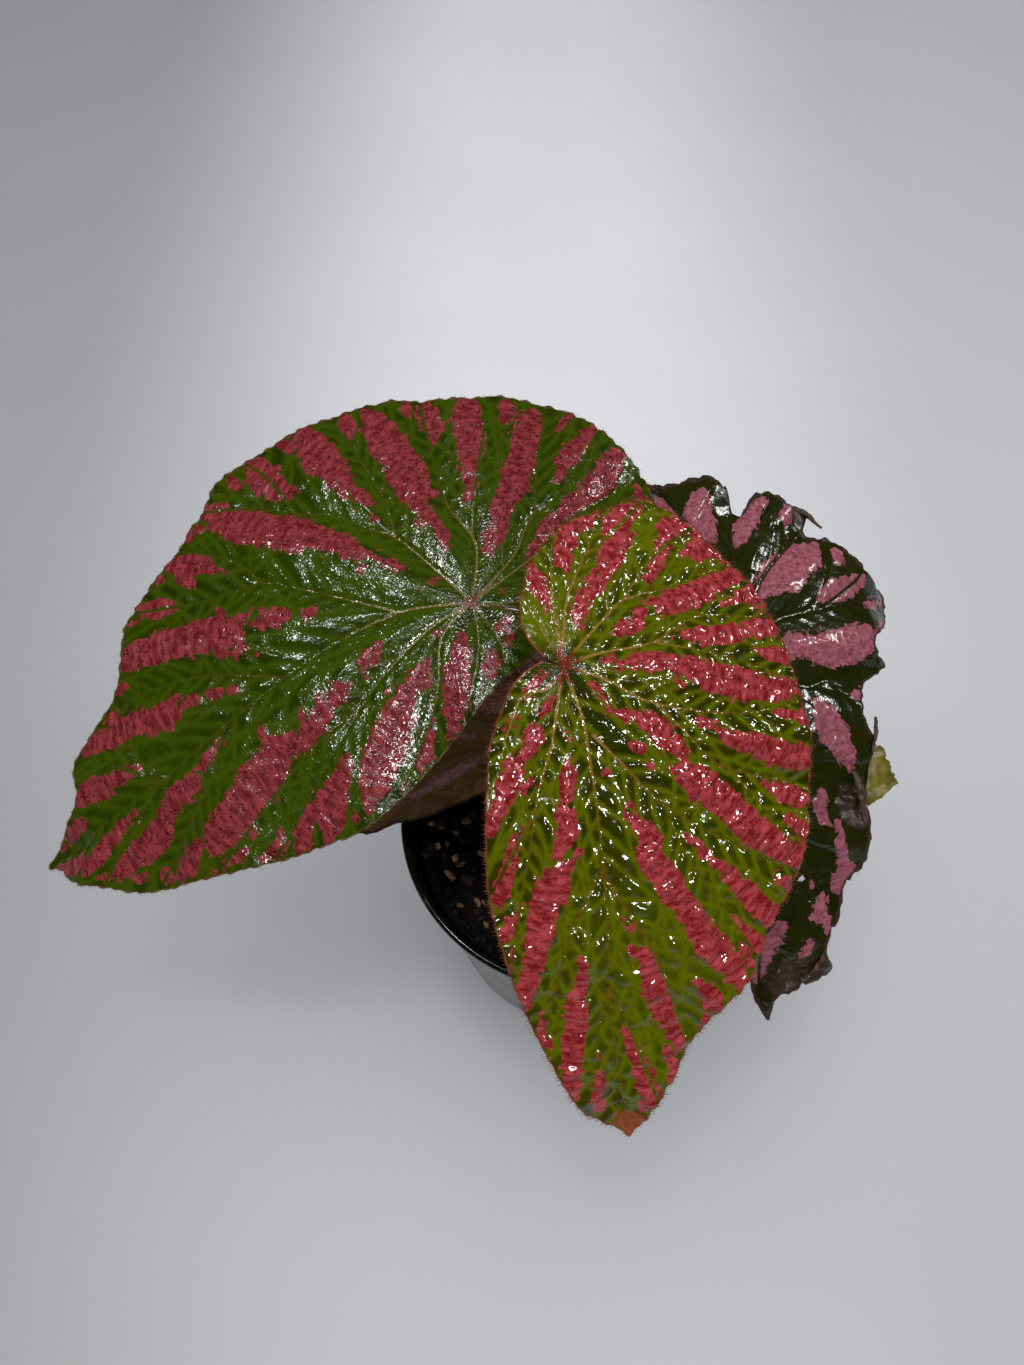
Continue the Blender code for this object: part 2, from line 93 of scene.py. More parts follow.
# Stalks and hairs, in millimetres: radius at the foot, how much thinner after it and how much
# wider under the blade; half width and depth of a stalk hair; half width and rise of a margin hair
STALK_FOOT = 2.7
STALK_TAPER = 0.9
STALK_FLARE = 0.5
STALK_HAIR = (0.09, 0.13)
MARGIN_HAIR = (0.14, 0.25)

# Blade detail, in millimetres, with angles in degrees and the wander in radians
PLEAT_DEPTH = 1.7
PLEAT_WIDTH = 7.0
MESH_STEP = 0.8
JUNCTION_EASE = 15
POLAR_SCALE = 45
SIDE_STEP = 1.5
SIDE_COUNT = 26
SIDE_ANGLE = 46
SIDE_BEND = 1.2
SIDE_WANDER = 0.16
SIDE_CLEAR = 1.2
SIDE_REACH = 6.0
STREAK_REACH = 12.0
CELL = 5.0
QUILT = 0.32
QUILT_SEAM = 1.3
RIDGE = 0.85
RIDGE_REACH = 2.2
STREAK_RISE = 0.5
STREAK_EDGE = 2.4
WRINKLE_LENGTH = 2.4
SWELL = 0.6
SWELL_LENGTH = 6.0
GROOVE = 0.45
GROOVE_REACH = 0.6
SHEET = 0.55
THIN_SHEET = 0.3
FLAP_SHEET = 0.4


def srgb(red, green, blue):
    """Linear colour from 0 to 255 screen values."""
    linear = []
    for value in (red, green, blue):
        share = value / 255
        linear.append(share / 12.92 if share < 0.04045 else ((share + 0.055) / 1.055) ** 2.4)
    return (*linear, 1.0)


# Node material helpers
class Shader:
    """A small builder for one Principled material's node graph."""

    def __init__(self, name):
        self.material = bpy.data.materials.new(name)
        self.material.use_nodes = True
        self.nodes = self.material.node_tree.nodes
        self.links = self.material.node_tree.links
        self.principled = self.nodes["Principled BSDF"]

    def feed(self, socket, value):
        if isinstance(value, bpy.types.NodeSocket):
            self.links.new(value, socket)
        elif value is not None:
            socket.default_value = value

    def node(self, kind, output=0, settings=None, **inputs):
        made = self.nodes.new(kind)
        for key, value in (settings or {}).items():
            setattr(made, key, value)
        for key, value in inputs.items():
            self.feed(made.inputs[int(key[1:]) if key[1:].isdigit() else key], value)
        return made.outputs[output]

    def attribute(self, name, output="Fac"):
        made = self.nodes.new("ShaderNodeAttribute")
        made.attribute_name = name
        return made.outputs[output]

    def math(self, operation, a, b=0.0, c=0.0):
        return self.node("ShaderNodeMath", settings={"operation": operation}, _0=a, _1=b, _2=c)

    def plus(self, a, b, amount=1.0):
        """a plus b times an amount."""
        return self.math("MULTIPLY_ADD", b, amount, a)

    def stir(self, value, texture, amount):
        """A value plus a texture's swing about its middle, times an amount."""
        swing = self.math("MULTIPLY", self.math("SUBTRACT", texture, 0.5), amount)
        return self.math("ADD", value, swing)

    def squeeze(self, vector, x, y, z=1.0):
        return self.node("ShaderNodeMapping", Vector=vector, Scale=(x, y, z))

    def noise(self, vector, scale, detail=3.0, roughness=0.55, output=0):
        return self.node("ShaderNodeTexNoise", output, Vector=vector, Scale=scale,
                         Detail=detail, Roughness=roughness)

    def cells(self, vector, scale, feature="F1", output=0, **more):
        return self.node("ShaderNodeTexVoronoi", output, settings={"feature": feature},
                         Vector=vector, Scale=scale, **more)

    def ramp(self, value, low, high, top=1.0):
        """0 below low and the top value above high; low and high may be the other way round."""
        made = self.nodes.new("ShaderNodeMapRange")
        made.interpolation_type = "SMOOTHSTEP"
        backward = low > high
        self.feed(made.inputs["Value"], value)
        self.feed(made.inputs["From Min"], min(low, high))
        self.feed(made.inputs["From Max"], max(low, high))
        self.feed(made.inputs["To Min"], top if backward else 0.0)
        self.feed(made.inputs["To Max"], 0.0 if backward else top)
        return made.outputs["Result"]

    def scale_to(self, value, low, high):
        """0 to 1 spread over low to high."""
        made = self.nodes.new("ShaderNodeMapRange")
        self.feed(made.inputs["Value"], value)
        made.inputs["To Min"].default_value = low
        made.inputs["To Max"].default_value = high
        return made.outputs["Result"]

    def mix(self, share, a, b):
        made = self.nodes.new("ShaderNodeMix")
        made.data_type = "RGBA"
        self.feed(made.inputs[0], share)
        self.feed(made.inputs[6], a)
        self.feed(made.inputs[7], b)
        return made.outputs[2]

    def bump(self, height, strength, distance, normal=None):
        return self.node("ShaderNodeBump", Height=height, Strength=strength,
                         Distance=distance * MM, Normal=normal)

    def finish(self, colour, roughness, normal=None, **sockets):
        self.feed(self.principled.inputs["Base Color"], colour)
        self.feed(self.principled.inputs["Roughness"], roughness)
        self.feed(self.principled.inputs["Normal"], normal)
        for name, value in sockets.items():
            self.principled.inputs[name.replace("_", " ")].default_value = value
        return self.material


# Shared shapes
def new_object(name, mesh, materials, smooth=True):
    for slot in materials:
        mesh.materials.append(slot)
    mesh.polygons.foreach_set("use_smooth", [smooth] * len(mesh.polygons))
    obj = bpy.data.objects.new(name, mesh)
    bpy.context.scene.collection.objects.link(obj)
    return obj


def mesh_from(name, points, faces, materials, smooth=True):
    mesh = bpy.data.meshes.new(name)
    mesh.from_pydata(np.asarray(points).tolist(), [], [tuple(face) for face in faces])
    return new_object(name, mesh, materials, smooth)


def add_values(obj, name, values):
    layer = obj.data.attributes.new(name, "FLOAT", "POINT")
    layer.data.foreach_set("value", np.asarray(values, np.float32))


def add_vectors(obj, name, values):
    layer = obj.data.attributes.new(name, "FLOAT_VECTOR", "POINT")
    layer.data.foreach_set("vector", np.asarray(values, np.float32).ravel())


def grid_faces(rows, columns, start=0, closed=False):
    """Quads of a grid of points, row after row, whose rows may close on themselves."""
    faces = []
    for row in range(start, start + (rows - 1) * columns, columns):
        for at in range(columns if closed else columns - 1):
            after = (at + 1) % columns
            faces.append((row + at, row + after, row + columns + after, row + columns + at))
    return faces


def thicken(obj, thickness, offset=0):
    solid = obj.modifiers.new("thickness", "SOLIDIFY")
    solid.thickness = thickness * MM
    solid.offset = offset
    return solid


def add_cylinder(shape, centre, radius, low, high, segments):
    middle = Matrix.Translation((centre[0] * MM, centre[1] * MM, (low + high) / 2 * MM))
    bmesh.ops.create_cone(shape, cap_ends=True, segments=segments, radius1=radius * MM,
                          radius2=radius * MM, depth=(high - low) * MM, matrix=middle)


def part_of(obj, slot_name, *nodes):
    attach(obj, "root")
    if nodes:
        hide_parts(*nodes)


def wall_radius(height):
    share = (height - WALL_FOOT[1]) / (WALL_TOP[1] - WALL_FOOT[1])
    return WALL_FOOT[0] + share * (WALL_TOP[0] - WALL_FOOT[0])


def rough_noise(points, scale, seed):
    """Smooth noise, about -1 to 1, at each of many flat points."""
    return np.array([noise.noise(Vector((x / scale, y / scale, seed))) for x, y in points])


# Pot
def pot_material():
    s = Shader("black_plastic")
    place = s.node("ShaderNodeTexCoord", 3)
    rings = s.noise(s.squeeze(place, 60, 60, 900), 1.0, 4, 0.6)
    dust = s.noise(place, 160.0, 5, 0.65)
    specks = s.ramp(s.noise(place, 1400.0, 2, 0.5), 0.66, 0.74)
    splashes = s.ramp(s.noise(s.squeeze(place, 120, 120, 40), 1.0, 5, 0.7), 0.56, 0.75)
    colour = s.mix(s.ramp(dust, 0.45, 0.8, 0.5), srgb(11, 11, 12), srgb(32, 30, 29))
    colour = s.mix(s.math("MULTIPLY", splashes, 0.25), colour, srgb(92, 80, 66))
    colour = s.mix(s.math("MULTIPLY", specks, 0.35), colour, srgb(120, 108, 92))
    rough = s.plus(s.scale_to(dust, 0.08, 0.28), s.math("MAXIMUM", specks, splashes), 0.25)
    return s.finish(colour, rough, s.bump(rings, 0.25, 0.08))


def build_pot():
    lip = (POT_RIM_RADIUS - LIP_RADIUS, POT_HEIGHT - LIP_RADIUS)
    profile = [(0, FLOOR), (20, FLOOR), (wall_radius(FLOOR) - WALL - 1.4, FLOOR)]
    profile.append((wall_radius(FLOOR + 1.2) - WALL, FLOOR + 1.4))
    profile += [(wall_radius(height) - WALL, height) for height in (25, 50, 75, 92)]
    profile.append((WALL_TOP[0] - WALL, WALL_TOP[1] - 0.6))
    for degrees in range(180, -91, -15):
        turn = math.radians(degrees)
        profile.append((lip[0] + LIP_RADIUS * math.cos(turn), lip[1] + LIP_RADIUS * math.sin(turn)))
    profile.append(WALL_TOP)
    profile += [(wall_radius(height), height) for height in (92, 75, 50, 25, 8)]
    profile += [WALL_FOOT, (46.2, 1.6), (45.7, 0.8), (45.1, 0.25), (44.4, 0), (20, 0), (0, 0)]
    shape = bmesh.new()
    corners = [shape.verts.new((radius * MM, 0, height * MM)) for radius, height in profile]
    edges = [shape.edges.new(pair) for pair in zip(corners, corners[1:])]
    bmesh.ops.spin(shape, geom=corners + edges, cent=(0, 0, 0), axis=(0, 0, 1),
                   angle=2 * math.pi, steps=160, use_merge=True)
    bmesh.ops.remove_doubles(shape, verts=shape.verts, dist=0.00002)
    bmesh.ops.recalc_face_normals(shape, faces=shape.faces)
    mesh = bpy.data.meshes.new("nursery_pot")
    shape.to_mesh(mesh)
    shape.free()
    pot = new_object("nursery_pot", mesh, [pot_material()])
    holes = bmesh.new()
    for index in range(DRAIN_HOLES):
        turn = 2 * math.pi * (index + 0.5) / DRAIN_HOLES
        centre = (DRAIN_RING_RADIUS * math.cos(turn), DRAIN_RING_RADIUS * math.sin(turn))
        add_cylinder(holes, centre, DRAIN_HOLE_RADIUS, -2, FLOOR + 2, 32)
    cut_with(pot, holes)
    part_of(pot, "pot_plastic", "pot")


def cut_with(obj, shape):
    """Cuts a shape out of an object and keeps only the result."""
    mesh = bpy.data.meshes.new("cutter")
    shape.to_mesh(mesh)
    shape.free()
    cutter = new_object("cutter", mesh, [])
    modifier = obj.modifiers.new("holes", "BOOLEAN")
    modifier.operation = "DIFFERENCE"
    modifier.solver = "EXACT"
    modifier.object = cutter
    bpy.context.view_layer.update()
    graph = bpy.context.evaluated_depsgraph_get()
    made = bpy.data.meshes.new_from_object(obj.evaluated_get(graph))
    obj.modifiers.clear()
    obj.data = made
    bpy.data.objects.remove(cutter)


# Potting mix with bark, fibre and grit
def soil_height(x, y):
    coarse = noise.noise(Vector((x / 17, y / 17, 3.1)))
    fine = noise.noise(Vector((x / 6, y / 6, 8.4)))
    mound = 2.5 * math.exp(-(math.hypot(x - STEM_CENTRE[0], y - STEM_CENTRE[1]) / 20) ** 2)
    return SOIL_TOP + SOIL_LUMPS * (coarse + 0.6 * fine) + mound


def soil_material():
    s = Shader("wet_potting_mix")
    place = s.node("ShaderNodeTexCoord", 3)
    lumps = s.noise(place, 420.0, 6, 0.7)
    crumbs = s.cells(place, 900.0)
    fibres = s.noise(s.squeeze(place, 2500, 500, 900), 1.0, 3)
    colour = s.mix(s.ramp(lumps, 0.35, 0.7), srgb(5, 3, 3), srgb(18, 12, 8))
    colour = s.mix(s.ramp(fibres, 0.68, 0.78), colour, srgb(74, 52, 33))
    normal = s.bump(crumbs, 0.7, 0.5, s.bump(lumps, 0.9, 0.8))
    return s.finish(colour, s.scale_to(lumps, 0.4, 0.95), normal, Specular_IOR_Level=0.2)


def grain_material(name, dark, light, rough):
    s = Shader(name)
    place = s.node("ShaderNodeTexCoord", 3)
    grain = s.noise(s.squeeze(place, 1600, 500, 500), 1.0, 4)
    tone = s.noise(place, 90.0, 2)
    colour = s.mix(s.ramp(grain, 0.3, 0.7), dark, light)
    colour = s.mix(s.ramp(tone, 0.4, 0.62, 0.6), colour, srgb(26, 18, 12))
    return s.finish(colour, rough, s.bump(grain, 0.6, 0.25))


def build_soil():
    top_radius = wall_radius(SOIL_TOP - 3) - WALL - SEAT_GAP
    around, rings = 240, 70
    points = []
    low = FLOOR + SEAT_GAP
    skirts = [(wall_radius(low) - WALL - 1.4 - SEAT_GAP, low)]
    skirts.append((wall_radius(low + 2) - WALL - SEAT_GAP, low + 2))
    skirts.append((top_radius, SOIL_TOP - 3))
    for ring in range(len(skirts) + rings):
        for index in range(around):
            turn = 2 * math.pi * index / around
            if ring < len(skirts):
                radius, z = skirts[ring]
            else:
                radius = (top_radius - 0.6) * (1 - (ring - len(skirts)) / rings)
            x, y = radius * math.cos(turn), radius * math.sin(turn)
            if ring >= len(skirts):
                z = soil_height(x, y)
                for height, length, seed in SOIL_CRUMBS:
                    z += height * noise.noise(Vector((x / length, y / length, seed)))
            points.append((x * MM, y * MM, z * MM))
    count = len(skirts) + rings
    faces = grid_faces(count, around, closed=True)
    faces.append(tuple(range(around - 1, -1, -1)))
    points.append((0, 0, soil_height(0, 0) * MM))
    for index in range(around):
        faces.append(((count - 1) * around + index, (count - 1) * around + (index + 1) % around,
                      len(points) - 1))
    soil = mesh_from("potting_mix", points, faces, [soil_material()])
    hole = bmesh.new()
    add_cylinder(hole, STEM_CENTRE, STEM_HOLE_RADIUS, STEM_FOOT - SEAT_GAP, SOIL_TOP + 20, 64)
    cut_with(soil, hole)
    part_of(soil, "potting_mix", "soil")


def chosen_grains():
    """Every grain as kind, x, y, lift, size and turns: the CAD's chips, the seen ones, the rest."""
    random.seed(SEED)
    grains = []
    placed = []
    while len(placed) < CHIPS:
        turn = random.uniform(0, 2 * math.pi)
        radius = random.uniform(14, 50)
        x, y = radius * math.cos(turn), radius * math.sin(turn)
        if any(math.hypot(x - other[0], y - other[1]) < CHIP_SPACING for other in placed):
            continue
        placed.append((x, y))
        size = (random.uniform(5, 9), random.uniform(3, 5), random.uniform(2.2, 3.4))
        tilt = [random.uniform(0, math.pi), random.uniform(-0.35, 0.35), random.uniform(-0.25, 0.25)]
        grains.append(("bark", x, y, 0.3, size, tilt))
    for x, y, length in SEEN_CHIPS:
        size = (length, length * random.uniform(0.45, 0.7), length * 0.4)
        tilt = [random.uniform(0, math.pi), random.uniform(-0.4, 0.4), random.uniform(-0.4, 0.4)]
        grains.append(("tan", x, y, 0.9, size, tilt))
    for kind, amount, small, large in LOOSE_GRAINS:
        for _ in range(amount):
            turn = random.uniform(0, 2 * math.pi)
            radius = GRAIN_REACH * math.sqrt(random.uniform(0.015, 1))
            x, y = radius * math.cos(turn), radius * math.sin(turn)
            if math.hypot(x - STEM_CENTRE[0], y - STEM_CENTRE[1]) < STEM_HOLE_RADIUS + 3:
                continue
            length = random.uniform(small, large)
            flat = 0.8 if kind in ("peat", "grit") else 0.5
            size = (length, length * random.uniform(0.5, 0.9), length * flat)
            tilt = [random.uniform(0, math.pi), random.uniform(-0.8, 0.8), random.uniform(-0.8, 0.8)]
            grains.append((kind, x, y, length * 0.18, size, tilt))
    return grains


def build_grains():
    """Irregular chips and crumbs, one piece for each kind."""
    kinds = {
        "bark": grain_material("bark_chip", srgb(30, 19, 12), srgb(66, 45, 28), 0.75),
        "tan": grain_material("tan_chip", srgb(96, 64, 36), srgb(168, 128, 80), 0.8),
        "peat": grain_material("peat_crumb", srgb(7, 5, 4), srgb(24, 16, 11), 0.85),
        "grit": grain_material("grit", srgb(96, 88, 74), srgb(140, 132, 118), 0.8),
    }
    ball = bmesh.new()
    bmesh.ops.create_icosphere(ball, subdivisions=2, radius=1)
    unit = [corner.co.copy() for corner in ball.verts]
    corners = [[corner.index for corner in face.verts] for face in ball.faces]
    ball.free()
    made = {kind: ([], []) for kind in kinds}
    for number, (kind, x, y, lift, size, tilt) in enumerate(chosen_grains()):
        place = Matrix.Translation((x * MM, y * MM, (soil_height(x, y) + lift) * MM))
        place @= Matrix.Rotation(tilt[0], 4, "Z") @ Matrix.Rotation(tilt[1], 4, "X")
        place @= Matrix.Rotation(tilt[2], 4, "Y") @ Matrix.Diagonal((*size, 1))
        points, faces = made[kind]
        start = len(points)
        for point in unit:
            lump = noise.noise(point * 1.3 + Vector((number * 7.3, number * 3.1, 0)))
            points.append(place @ (point * 0.5 * MM * (1 + 0.7 * lump)))
        faces += [[start + index for index in face] for face in corners]
    for kind, (points, faces) in made.items():
        grains = mesh_from(kind + "_grains", points, faces, [kinds[kind]], smooth=kind == "grit")
        part_of(grains, "potting_mix")


# Blade geometry, bent as in the CAD
def arc(distance, curvature):
    safe = np.where(np.abs(curvature) < 1e-9, 1e-9, curvature)
    return np.sin(safe * distance) / safe, (1 - np.cos(safe * distance)) / safe


def blade_axes(leaf):
    heading, pitch, roll = (math.radians(leaf[key]) for key in ("heading", "pitch", "roll"))
    along = Vector((math.cos(heading) * math.cos(pitch), math.sin(heading) * math.cos(pitch),
                    -math.sin(pitch)))
    left = Vector((-math.sin(heading), math.cos(heading), 0))
    turned = Matrix.Rotation(roll, 3, along)
    return along, turned @ left, turned @ along.cross(left)


def cross_section(leaf, v):
    side = np.zeros_like(v)
    down = np.zeros_like(v)
    for sign, (near, start, far) in ((1, leaf["left"]), (-1, leaf["right"])):
        reach = np.clip(sign * v, 0, None)
        first = np.minimum(reach, start)
        near, far = math.radians(near), math.radians(far)
        y, z = arc(first, near)
        further, drop = arc(reach - first, far)
        turn = near * start
        y = y + further * math.cos(turn) - drop * math.sin(turn)
        z = z + further * math.sin(turn) + drop * math.cos(turn)
        chosen = sign * v > 0
        side = np.where(chosen, sign * y, side)
        down = np.where(chosen, z, down)
    return side, down


def place_blade(leaf, u, v, lift):
    """Flat u, v and lift off the blade, in millimetres, to points of the plant."""
    droop = np.radians(np.where(u > 0, leaf["droop"][0], leaf["droop"][1]))
    x, fall = arc(u, droop)
    side, down = cross_section(leaf, v)
    turn = droop * u
    height = lift - down
    x = x + height * np.sin(turn)
    z = height * np.cos(turn) - fall
    along, left, up = (np.array(axis) for axis in blade_axes(leaf))
    base = np.array(leaf["junction"])
    return base + x[..., None] * along + side[..., None] * left + z[..., None] * up


def flat_pairs(numbers, width=2):
    return np.array(numbers, float).reshape(-1, width)


def rounded(points, parts):
    """A polyline with its corners rounded off, each stretch in some parts."""
    if len(points) < 2:
        return np.asarray(points, float)
    padded = np.concatenate([points[:1], points, points[-1:]])
    made = []
    for a, b, c, d in zip(padded, padded[1:], padded[2:], padded[3:]):
        for t in np.arange(parts) / parts:
            bent = (2 * a - 5 * b + 4 * c - d) * t * t + (3 * b - a - 3 * c + d) * t ** 3
            made.append(b + 0.5 * ((c - a) * t + bent))
    return np.array(made + [points[-1]])


def travelled(points):
    return np.concatenate([[0], np.cumsum(np.hypot(*np.diff(points[:, :2], axis=0).T))])


def resample(points, step):
    """Points evenly spaced along a polyline."""
    travel = travelled(points)
    count = max(2, int(round(travel[-1] / step)) + 1)
    wanted = np.linspace(0, travel[-1], count)
    return np.stack([np.interp(wanted, travel, points[:, i]) for i in (0, 1)], -1)


def margin_curve(leaf):
    angle = np.radians([pair[0] for pair in leaf["margin"]])
    radius = np.array([pair[1] for pair in leaf["margin"]], float)
    return rounded(np.stack([radius * np.cos(angle), radius * np.sin(angle)], -1), 16)


def line_distance(points, u, v):
    """Distance to a polyline, how far along it the nearest point is, and that point's third value."""
    travel = travelled(points)
    widths = points[:, 2] if points.shape[1] > 2 else np.zeros(len(points))
    nearest = np.full(np.shape(u), 1e6)
    share = np.zeros(np.shape(u))
    width = np.full(np.shape(u), widths[0])
    if len(points) == 1:
        return np.hypot(u - points[0, 0], v - points[0, 1]), share, width
    for index, length in enumerate(np.diff(travel)):
        if length < 1e-6:
            continue
        way = (points[index + 1, :2] - points[index, :2]) / length
        x, y = u - points[index, 0], v - points[index, 1]
        t = np.clip(x * way[0] + y * way[1], 0, length)
        distance = np.hypot(x - t * way[0], y - t * way[1])
        closer = distance < nearest
        nearest = np.where(closer, distance, nearest)
        share = np.where(closer, (travel[index] + t) / travel[-1], share)
        local = widths[index] + (widths[index + 1] - widths[index]) * t / length
        width = np.where(closer, local, width)
    return nearest, share, width


def near_lines(lines, u, v, reach):
    """Distance to the nearest of many short lines, no more than the reach."""
    nearest = np.full(len(u), reach)
    for line in lines:
        low, high = line.min(axis=0) - reach, line.max(axis=0) + reach
        close = np.flatnonzero((u > low[0]) & (u < high[0]) & (v > low[1]) & (v < high[1]))
        if len(close):
            distance = line_distance(line, u[close], v[close])[0]
            nearest[close] = np.minimum(nearest[close], distance)
    return nearest


def inside(outline, u, v):
    """Whether each point lies inside a closed outline."""
    result = np.zeros(np.shape(u), bool)
    for (x0, y0), (x1, y1) in zip(outline, np.roll(outline, -1, axis=0)):
        if y0 != y1:
            crosses = (y0 > v) != (y1 > v)
            result ^= crosses & (u < (x1 - x0) * (v - y0) / (y1 - y0) + x0)
    return result


def side_veins(mains, outline, seed):
    """Thinner veins that branch off both sides of each main vein towards the margin."""
    tips, headings, sides, owners = [], [], [], []
    for number, vein in enumerate(mains):
        spine = resample(vein, SIDE_STEP)
        gap = 5 if number == 0 else 4
        for start in range(gap, len(spine) - 3, gap):
            for side in (1, -1):
                at = min(len(spine) - 2, start + (gap // 2 if side > 0 else 0))
                way = spine[at + 1] - spine[at]
                tips.append(spine[at])
                headings.append(math.atan2(way[1], way[0]) + side * math.radians(SIDE_ANGLE))
                sides.append(side)
                owners.append(number)
    tips, headings, sides = np.array(tips), np.array(headings), np.array(sides)
    owners = np.array(owners)
    paths = [[tip] for tip in tips]
    growing = np.ones(len(tips), bool)
    for step in range(SIDE_COUNT):
        headings -= sides * math.radians(SIDE_BEND)
        headings += SIDE_WANDER * rough_noise(tips, 6, seed)
        tips = tips + SIDE_STEP * np.stack([np.cos(headings), np.sin(headings)], -1)
        growing &= inside(outline, tips[:, 0], tips[:, 1])
        for index in np.flatnonzero(growing):
            paths[index].append(tips[index])
        if step > 1:
            for number, vein in enumerate(mains):
                near = line_distance(vein, tips[:, 0], tips[:, 1])[0] < SIDE_CLEAR
                growing &= ~(near & (owners != number))
    return [np.array(path) for path in paths if len(path) > 3]


def fill_points(outline, lines, step):
    """Staggered points that fill an outline and keep off its lines."""
    low, high = outline.min(axis=0), outline.max(axis=0)
    vs = np.arange(low[1], high[1], step * 0.866)
    u, v = np.meshgrid(np.arange(low[0], high[0], step), vs)
    u = (u + 0.5 * step * (np.arange(len(vs)) % 2)[:, None]).ravel()
    v = v.ravel()
    keep = inside(outline, u, v)
    u, v = u[keep], v[keep]
    tree = KDTree(sum(len(line) for line in lines))
    for index, point in enumerate(np.concatenate(lines)):
        tree.insert((*point, 0), index)
    tree.balance()
    clear = [tree.find((x, y, 0))[2] > 0.62 * step for x, y in zip(u, v)]
    return np.stack([u, v], -1)[clear]


def toothed_margin(leaf, seed):
    """The margin with its fine teeth, and the notch at the junction."""
    edge = resample(margin_curve(leaf), MESH_STEP)
    along = travelled(edge)
    radius = np.hypot(*edge.T)
    bite = 0.3 * np.sin(2 * math.pi * along / 4.3) + 0.25 * np.sin(2 * math.pi * along / 7.9 + seed)
    bite += leaf["ragged"] * rough_noise(edge, 5, seed)
    bite += 0.5 * leaf["ragged"] * rough_noise(edge, 1.6, seed + 3)
    fade = np.clip(radius / 20 - 0.4, 0, 1)
    toothed = edge + edge / np.maximum(radius, 1)[:, None] * (bite * fade)[:, None]
    return np.concatenate([[(0.0, 0.0)], toothed])


def blade_mesh(leaf, outline, mains, sides):
    """A flat triangle mesh of the blade whose edges follow its margin and veins."""
    lines = []
    for line in mains + sides:
        line = resample(line, MESH_STEP)
        within = inside(outline, line[:, 0], line[:, 1])
        within[0] = True
        stop = len(line) if within.all() else int(np.argmin(within))
        if stop > 1:
            lines.append(line[:stop])
    filler = fill_points(outline, lines + [outline], MESH_STEP)
    count = len(outline)
    corners = [tuple(point) for point in outline]
    edges = [(index, (index + 1) % count) for index in range(count)]
    for line in lines:
        start = len(corners)
        corners += [tuple(point) for point in line]
        edges += [(start + index, start + index + 1) for index in range(len(line) - 1)]
    corners += [tuple(point) for point in filler]
    flat, _, faces, *_ = delaunay_2d_cdt([Vector(c) for c in corners], edges, [], 0, 0.02, False)
    flat = np.array([tuple(point) for point in flat])
    faces = np.array([tuple(face) for face in faces])
    centre = flat[faces].mean(axis=1)
    keep = inside(outline, centre[:, 0], centre[:, 1])
    for u, v, reach in leaf.get("holes", ()):
        ragged = reach * (1 + 0.5 * rough_noise(centre, 1.0, 4.0))
        keep &= np.hypot(centre[:, 0] - u, centre[:, 1] - v) > ragged
    used, index = np.unique(faces[keep], return_inverse=True)
    return flat[used], index.reshape(-1, 3)


def cell_pattern(leaf, polar, seed):
    """Distance to the nearest gap between puckers, and a random value for each pucker."""
    rng = np.random.default_rng(seed)
    low, high = polar.min(axis=0) - CELL, polar.max(axis=0) + CELL
    grid = np.stack(np.meshgrid(np.arange(low[0], high[0], CELL * 1.3),
                                np.arange(low[1], high[1], CELL)), -1).reshape(-1, 2)
    grid = grid + rng.uniform(-0.42, 0.42, grid.shape) * CELL
    values = rng.uniform(-1, 1, len(grid))
    tree = KDTree(len(grid))
    for index, point in enumerate(grid):
        tree.insert((*point, 0), index)
    tree.balance()
    gap = np.empty(len(polar))
    value = np.empty(len(polar))
    for index, point in enumerate(polar):
        first, second = tree.find_n((*point, 0), 2)
        gap[index] = (second[2] - first[2]) / 2
        value[index] = values[first[1]]
    return gap, value


def spot_values(spots, u, v):
    total = np.zeros(len(u))
    for x, y, reach, strength in spots:
        total += strength * np.exp(-((u - x) ** 2 + (v - y) ** 2) / reach ** 2)
    return np.clip(total, 0, 1)


def broad_lift(leaf, u, v):
    """Pleats between the main veins and waves towards the margin, as in the CAD."""
    curve = resample(margin_curve(leaf), 2.5)
    margin_gap, around, _ = line_distance(curve, u, v)
    radius = np.hypot(u, v)
    share = radius / (radius + margin_gap + 1e-6)
    vein = np.full(len(u), 1e6)
    for path in leaf["veins"]:
        vein = np.minimum(vein, line_distance(flat_pairs(path), u, v)[0])
    pleat = 1 - np.exp(-(vein / PLEAT_WIDTH) ** 2)
    near = np.clip(radius / JUNCTION_EASE, 0, 1)
    waves = np.sin(2 * np.pi * leaf["waves"][0] * around + leaf["waves"][2])
    return PLEAT_DEPTH * pleat * near + leaf["waves"][1] * share ** 3 * waves * near, margin_gap


